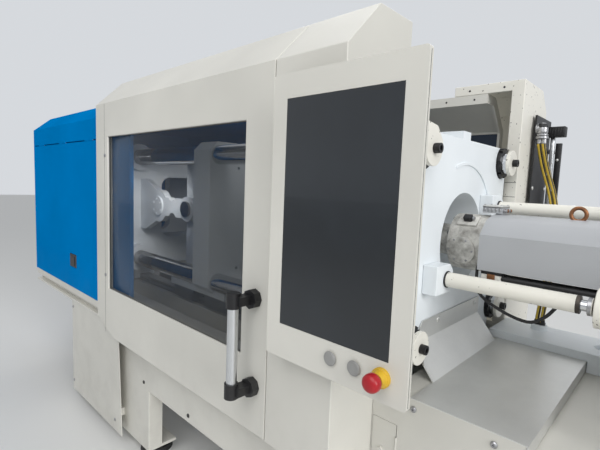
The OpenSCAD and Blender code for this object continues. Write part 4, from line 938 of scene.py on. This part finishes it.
class MACHINE_OT_barrel_details(MachineStep, bpy.types.Operator):
    """Small pieces of the barrel head, the terminal box, the lifting ring and the connector."""

    bl_idname = "machine.barrel_details"
    bl_label = "Barrel details"

    def execute(self, context):
        self.head()
        self.terminal_box()
        self.lifting_ring()
        self.connector()
        return {"FINISHED"}

    def head(self):
        """Bolts, side cap, black ring of painted shade at the head's rear end, and plate with plug
        on the barrel's round head.
        """
        ahead, beside, upwards = Vector((1, 0, 0)), Vector((0, 1, 0)), Vector((0, 0, 1))
        bolt = turned("head_bolt_pattern", [(8, 0), (8, 9), (7, 10)], sides=6)
        face = Vector((150.6, 0, BARREL_HEIGHT))
        spots = circle(face, beside, upwards, radius=84, count=8, first=22.5)
        repeat(bolt, "head_bolt", "carriage", [(spot, (-1, 0, 0), "steel") for spot in spots])

        out = Vector((0, -0.97, -0.2)).normalized()
        seat = Vector((199, 0, BARREL_HEIGHT)) + out * 80
        rings = [(50, 0), (50, 23), (48.5, 25), (45, 25.6), (30, 25.9)]
        settle(turned("head_cap", rings, seat, out, sides=40), "carriage", "heater_wrap")
        screw = turned("cap_screw_pattern", [(3.4, 0), (3.4, 2.2), (2.6, 3)], sides=12)
        spots = circle(seat + out * 25.4, ahead, out.cross(ahead), radius=40, count=6)
        repeat(screw, "cap_screw", "carriage", [(spot, out, "steel") for spot in spots])

        # Painted shade: a black ring round the head's rear end stands for the shade between head and
        # guard.
        proud = HEAD_RADIUS + 1.2
        rings = [(HEAD_RADIUS, 0), (proud, 0.6), (proud, 9.4), (HEAD_RADIUS, 10)]
        end = turned("head_gap_shade_ring", rings, (264.6, 0, BARREL_HEIGHT), ahead, sides=64)
        settle(end, "carriage", "cable_black")

        up = Vector((0, -0.62, 0.79)).normalized()
        spot = Vector((206, 0, BARREL_HEIGHT)) + up * HEAD_RADIUS
        for name, low, high, edge, material in (
            ("head_plate", (-34, -25, -6), (34, 25, 5), 1.5, "heater_wrap"),
            ("head_plug", (-13, -11, 5), (15, 9, 24), 2.5, "cable_black"),
            ("head_plug_collar", (15, -7, 9), (24, 5, 20), 2, "steel"),
        ):
            piece = block(name, low, high, edge)
            place(piece, spot, up)
            settle(piece, "carriage", material)

    def terminal_box(self):
        """Clips, lid, glands and screws of the small box on the guard's front end."""
        for number in range(5):
            x = 244 + 12.4 * number
            low, high = (x, -38.6, 1330), (x + 6, -36.6, 1343)
            clip = block(f"terminal_clip_{number}", low, high, edge=0.8, segments=1)
            settle(clip, "carriage", "steel")
        lid = block("terminal_lid", (239.8, -38.4, 1345.6), (305.2, 39.4, 1352), edge=2)
        settle(lid, "carriage", "stainless")
        # Painted shade: a thin dark strip under the lid stands for the shade in the lid's joint.
        low, high = (240.4, -37.8, 1343.8), (304.6, 38.8, 1345.6)
        gap_shade = block("terminal_lid_shade", low, high, edge=0.3, segments=1)
        settle(gap_shade, "carriage", "shadow_gap")
        rings = [(6, 0), (6, 3), (4.6, 3.6), (4.6, 7), (5.6, 7.6), (5.6, 11), (3, 12.4)]
        gland = turned("terminal_gland_pattern", rings, sides=20)
        glands = [(-24, "steel"), (-8, "worn_copper"), (8, "steel"), (24, "worn_copper")]
        spots = [((304, y, 1334), (1, 0, 0), material) for y, material in glands]
        repeat(gland, "terminal_gland", "carriage", spots)
        screw = turned("lid_screw_pattern", [(3, 0), (3, 1.2), (2.2, 2)], sides=14)
        spots = [((x, y, 1352), (0, 0, 1), "steel") for y in (-32, 33) for x in (246, 299)]
        repeat(screw, "lid_screw", "carriage", spots)

    def lifting_ring(self):
        """Worn copper ring that stands on the guard's ridge."""
        bpy.ops.object.select_all(action="DESELECT")
        bpy.ops.mesh.primitive_torus_add(
            major_segments=48,
            minor_segments=16,
            major_radius=20 * MM,
            minor_radius=5.8 * MM,
            location=(515 * MM, 0, 1338 * MM),
            rotation=(math.pi / 2, 0, 0),
        )
        ring = bpy.context.object
        ring.name = "lifting_ring"
        smooth(ring, TUBE_ANGLE)
        settle(ring, "carriage", "worn_copper")

    def connector(self):
        """Connector under the guard's front edge: dark cap, pale body and its latch."""
        for name, low, high, edge, material in (
            ("connector_cap", (292.4, -153.2, 1136), (355.4, -94.8, 1146), 1, "black_steel"),
            ("connector_body", (293.4, -152.6, 1115.4), (354.6, -95.4, 1136), 1.5, "heater_wrap"),
            ("connector_latch", (312, -155.4, 1119), (336, -152.4, 1138), 1, "worn_copper"),
        ):
            settle(block(name, low, high, edge), "carriage", material)


class MACHINE_OT_rod_details(MachineStep, bpy.types.Operator):
    """Rings, wear bands and lips at the ends of the carriage rods and cylinders."""

    bl_idname = "machine.rod_details"
    bl_label = "Rod details"

    def execute(self, context):
        ring = [(25.6, 0), (27, 1), (27, 4.4), (25.6, 5.4)]
        wear_band = [(24.2, 0), (24.6, 0.6), (24.6, 9), (24, 9.8), (16, 10)]
        gland_ring = [(24.3, 0), (24.5, 0.8), (24.5, 6), (23.4, 7)]
        gland_lip = [(24.3, 0), (24.3, 8.4), (22, 9.4), (16.2, 9.6)]
        cylinder_lip = [(31, 0), (31, 1.6), (28, 2.6), (25, 2.9)]
        along_rod, back_along_rod = (1, 0, 0), (-1, 0, 0)
        for rod, y, z in (("front", -218, 1110), ("rear", 218, 1336)):
            for name, rings, x, facing, body, material in (
                ("rod_ring", ring, 210.2, along_rod, "frame", "cable_black"),
                ("rod_wear_band", wear_band, 567.4, along_rod, "frame", "dark_steel"),
                ("gland_ring", gland_ring, 611, back_along_rod, "carriage", "dark_steel"),
                ("gland_lip", gland_lip, 602.6, back_along_rod, "carriage", "steel"),
                ("cylinder_lip", cylinder_lip, 611, back_along_rod, "carriage", "cream_paint"),
            ):
                piece = turned(f"{name}_{rod}", rings, (x, y, z), facing, sides=40)
                settle(piece, body, material)
        return {"FINISHED"}


class MACHINE_OT_rear_details(MachineStep, bpy.types.Operator):
    """Painted shade in two joints of the rear cover, the hose fitting and glands, and the cable duct
    beside the plate.
    """

    bl_idname = "machine.rear_details"
    bl_label = "Rear details"

    def execute(self, context):
        # Painted shade: thin dark strips stand for the shade in two joints of the cover's end wall.
        for number, z in enumerate((1378, 1440)):
            low = (154, COVER_EDGE - 0.4, z - 1)
            high = (201, COVER_EDGE + 0.4, z + 1)
            seam_shade = block(f"end_wall_seam_shade_{number}", low, high, edge=0.25, segments=1)
            settle(seam_shade, "frame", "shadow_gap")
        self.hose_fitting()
        self.cable_duct()
        self.hose_ends()
        return {"FINISHED"}

    def hose_fitting(self):
        """Ribbed dome over the hoses and the stub that holds it to the plate."""
        dome = [
            (26.4, 0),
            (26.4, 9),
            (22.4, 12),
            (24.4, 15),
            (24.4, 19),
            (20.4, 22),
            (22.4, 25),
            (22.6, 30),
            (22.4, 44),
            (21.6, 52),
            (18.6, 62),
            (13, 68),
            (6, 70.6),
        ]
        settle(turned("fitting_dome", dome, HOSE_TOP), "frame", "steel")
        stub = [(24, 0), (24, 5), (20.6, 7), (20.6, 20)]
        spot = (PLATE_SEAT, HOSE_TOP[1], HOSE_TOP[2] + 44)
        settle(turned("fitting_stub", stub, spot, (1, 0, 0)), "frame", "steel")

    def cable_duct(self):
        """Duct with its feet, bolts and bank of connectors, beside the plate."""
        for name, low, high, edge, material in (
            ("duct_rail", (231, 803, 1120), (250, 822, 1668), 1.5, "aluminium_tube"),
            ("duct_cover", (256, 803, 1120), (281, 822, 1640), 1.5, "black_steel"),
            ("duct_foot", (PLATE_SEAT, 806, 1150), (258, 820, 1172), 1, "steel"),
            ("duct_head", (PLATE_SEAT, 806, 1590), (258, 820, 1612), 1, "steel"),
            ("connector_bank", (PLATE_SEAT, 770, 1668), (296, 818, 1716), 3, "cable_black"),
        ):
            settle(block(name, low, high, edge), "frame", material)
        for number in range(6):
            x = 230 + 11 * number
            low, high = (x, 768, 1671), (x + 5, 771, 1713)
            fin = block(f"connector_fin_{number}", low, high, edge=0.8, segments=1)
            settle(fin, "frame", "black_steel")
        bolt = turned("duct_bolt_pattern", [(6, 0), (6, 3), (4, 4.2)], sides=16)
        spots = [((268, 803, z), (0, -1, 0), "stainless") for z in (1250, 1560)]
        repeat(bolt, "duct_bolt", "frame", spots)

    def hose_ends(self):
        """Ferrules at the top of the hoses and glands at their foot."""
        rings = [(8.6, 0), (11, 1.5), (11, 20), (9.6, 22), (8.3, 23)]
        ferrule = turned("hose_ferrule_pattern", rings, sides=24)
        self.at_hoses(ferrule, "hose_ferrule", HOSE_TOP, (0, 0, -1), "steel")
        rings = [(14, 0), (14, 9), (11, 12), (11, 20), (8.8, 22)]
        grip = turned("gland_grip_pattern", rings, sides=6)
        self.at_hoses(grip, "gland_grip", HOSE_FOOT, (0, 0, 1), "cable_black")

    def at_hoses(self, pattern, name, middle, facing, material):
        """Settles a copy of the pattern on each hose of the pair."""
        x, y, z = middle
        spots = [((x + shift, y, z), facing, material) for shift in HOSE_SHIFTS]
        repeat(pattern, name, "frame", spots)


# ---- stage ----


class MACHINE_OT_stage(bpy.types.Operator):
    """Floor, studio light and the camera at the photograph's viewing angle."""

    bl_idname = "machine.stage"
    bl_label = "Stage"
    # name, kind, place and target in metres, size in metres or angle in radians, power
    lamps = (
        ("ceiling_front", "AREA", (1.5, -4.0, 5.0), (0.2, 0.0, 0.8), 5.0, 175),
        ("ceiling_back", "AREA", (-2.0, 3.5, 5.5), (0.0, 0.0, 1.0), 5.0, 110),
        ("side_fill", "SUN", (8.6, -1.8, 4.0), (0.3, 0.0, 1.1), 0.5, 1.5),
        ("work_light", "SPOT", (-1.08, -0.56, 1.46), (-1.5, -0.34, 1.2), 1.15, 14),
    )
    floor_size = 60  # metres
    sky_colour = (0.86, 0.89, 0.93, 1)
    sky_light, sky_seen = 0.38, 0.78  # strength on surfaces, and as camera and mirrors see it
    camera_spot = (0.77, -1.514)  # metres, X and Y
    camera_turn = (43.34, 5.705, 2.261)  # degrees: heading from +Y towards -X, tilt down, roll

    def execute(self, context):
        scene = context.scene
        scene.view_settings.view_transform = "Standard"
        self.lay_floor(scene)
        self.light_sky(scene)
        for lamp in self.lamps:
            self.hang_lamp(scene, *lamp)
        self.stand_camera(scene)
        return {"FINISHED"}

    def lay_floor(self, scene):
        """Plain pale floor, wide enough for every view."""
        bpy.ops.object.select_all(action="DESELECT")
        bpy.ops.mesh.primitive_plane_add(size=self.floor_size, location=(0, 0, 0))
        floor = bpy.context.object
        floor.name = "floor"
        material = bpy.data.materials.new("pale_floor")
        material.use_nodes = True
        surface = principled(material)
        surface.inputs["Base Color"].default_value = (*scene.machine_colours.floor, 1)
        surface.inputs["Roughness"].default_value = 0.6
        floor.data.materials.append(material)

    def light_sky(self, scene):
        """Even sky, brighter where the camera, a reflection or clear glass sees it."""
        world = bpy.data.worlds.new("studio")
        scene.world = world
        world.use_nodes = True
        tree = world.node_tree
        rays = add(tree, "ShaderNodeLightPath").outputs
        seen = calculate(tree, "MAXIMUM", rays["Is Camera Ray"], rays["Is Glossy Ray"])
        seen = calculate(tree, "MAXIMUM", seen, rays["Is Transmission Ray"])
        sky = tree.nodes["Background"]
        feed(tree, sky.inputs["Color"], self.sky_colour)
        strength = remap(tree, seen, 0.0, 1.0, self.sky_light, self.sky_seen)
        feed(tree, sky.inputs["Strength"], strength)

    def hang_lamp(self, scene, name, kind, spot, target, spread, power):
        """Lamp that the camera doesn't see, aimed at a target."""
        data = bpy.data.lights.new(name, kind)
        data.energy = power
        if kind == "AREA":
            data.size = spread
        elif kind == "SUN":
            data.angle = spread
        else:
            data.spot_size = spread
            data.spot_blend = 0.7
            data.shadow_soft_size = 0.1
        lamp = bpy.data.objects.new(name, data)
        lamp.location = spot
        lamp.visible_camera = False
        aim = Vector(target) - Vector(spot)
        lamp.rotation_euler = aim.to_track_quat("-Z", "Y").to_euler()
        scene.collection.objects.link(lamp)

    def stand_camera(self, scene):
        """Camera at the photograph's place and angle."""
        data = bpy.data.cameras.new("camera")
        data.sensor_width = 36
        data.lens = scene.machine_sizes.camera_lens
        data.clip_start = 0.05
        data.clip_end = 100
        camera = bpy.data.objects.new("camera", data)
        scene.collection.objects.link(camera)
        heading, tilt, roll = (math.radians(angle) for angle in self.camera_turn)
        level = math.cos(tilt)
        ahead = Vector((-math.sin(heading) * level, math.cos(heading) * level, -math.sin(tilt)))
        right = Vector((math.cos(heading), math.sin(heading), 0))
        down = ahead.cross(right)
        across = right * math.cos(roll) - down * math.sin(roll)
        upright = -(right * math.sin(roll) + down * math.cos(roll))
        turn = Matrix((across, upright, -ahead)).transposed().to_4x4()
        spot = (*self.camera_spot, scene.machine_sizes.camera_height)
        camera.matrix_world = Matrix.Translation(spot) @ turn
        scene.camera = camera


# ---- finishes, panel and run ----


class MACHINE_OT_finishes(bpy.types.Operator):
    """Makes the materials and paints every carried-over part."""

    bl_idname = "machine.finishes"
    bl_label = "Finishes"

    def execute(self, context):
        make_materials(context.scene.machine_colours)
        for node, item in NODES.items():
            paint(item, SLOT_OF[node])
        return {"FINISHED"}


PIECES = (
    MACHINE_OT_stage,
    MACHINE_OT_finishes,
    MACHINE_OT_hoses,
    MACHINE_OT_cables,
    MACHINE_OT_guards,
    MACHINE_OT_housing,
    MACHINE_OT_beds,
    MACHINE_OT_castings,
    MACHINE_OT_fittings,
    MACHINE_OT_screws,
    MACHINE_OT_door_details,
    MACHINE_OT_panel_details,
    MACHINE_OT_barrel_details,
    MACHINE_OT_rod_details,
    MACHINE_OT_rear_details,
)


class MACHINE_PT_panel(bpy.types.Panel):
    """Lists the machine's finishing steps in order."""

    bl_label = "Machine"
    bl_idname = "MACHINE_PT_panel"
    bl_space_type = "VIEW_3D"
    bl_region_type = "UI"
    bl_category = "Machine"

    def draw(self, context):
        for group in (context.scene.machine_colours, context.scene.machine_sizes):
            for key in group.__annotations__:
                self.layout.prop(group, key)
        for piece in PIECES:
            self.layout.operator(piece.bl_idname)


CLASSES = (MachineColours, MachineSizes, *PIECES, MACHINE_PT_panel)


def register():
    for item in CLASSES:
        bpy.utils.register_class(item)
    bpy.types.Scene.machine_colours = bpy.props.PointerProperty(type=MachineColours)
    bpy.types.Scene.machine_sizes = bpy.props.PointerProperty(type=MachineSizes)


def unregister():
    del bpy.types.Scene.machine_sizes
    del bpy.types.Scene.machine_colours
    for item in reversed(CLASSES):
        bpy.utils.unregister_class(item)


def main():
    register()
    for piece in PIECES:
        space, name = piece.bl_idname.split(".")
        result = getattr(getattr(bpy.ops, space), name)()
        if "FINISHED" not in result:
            raise RuntimeError(piece.bl_idname + " did not finish")


if __name__ == "__main__":
    main()
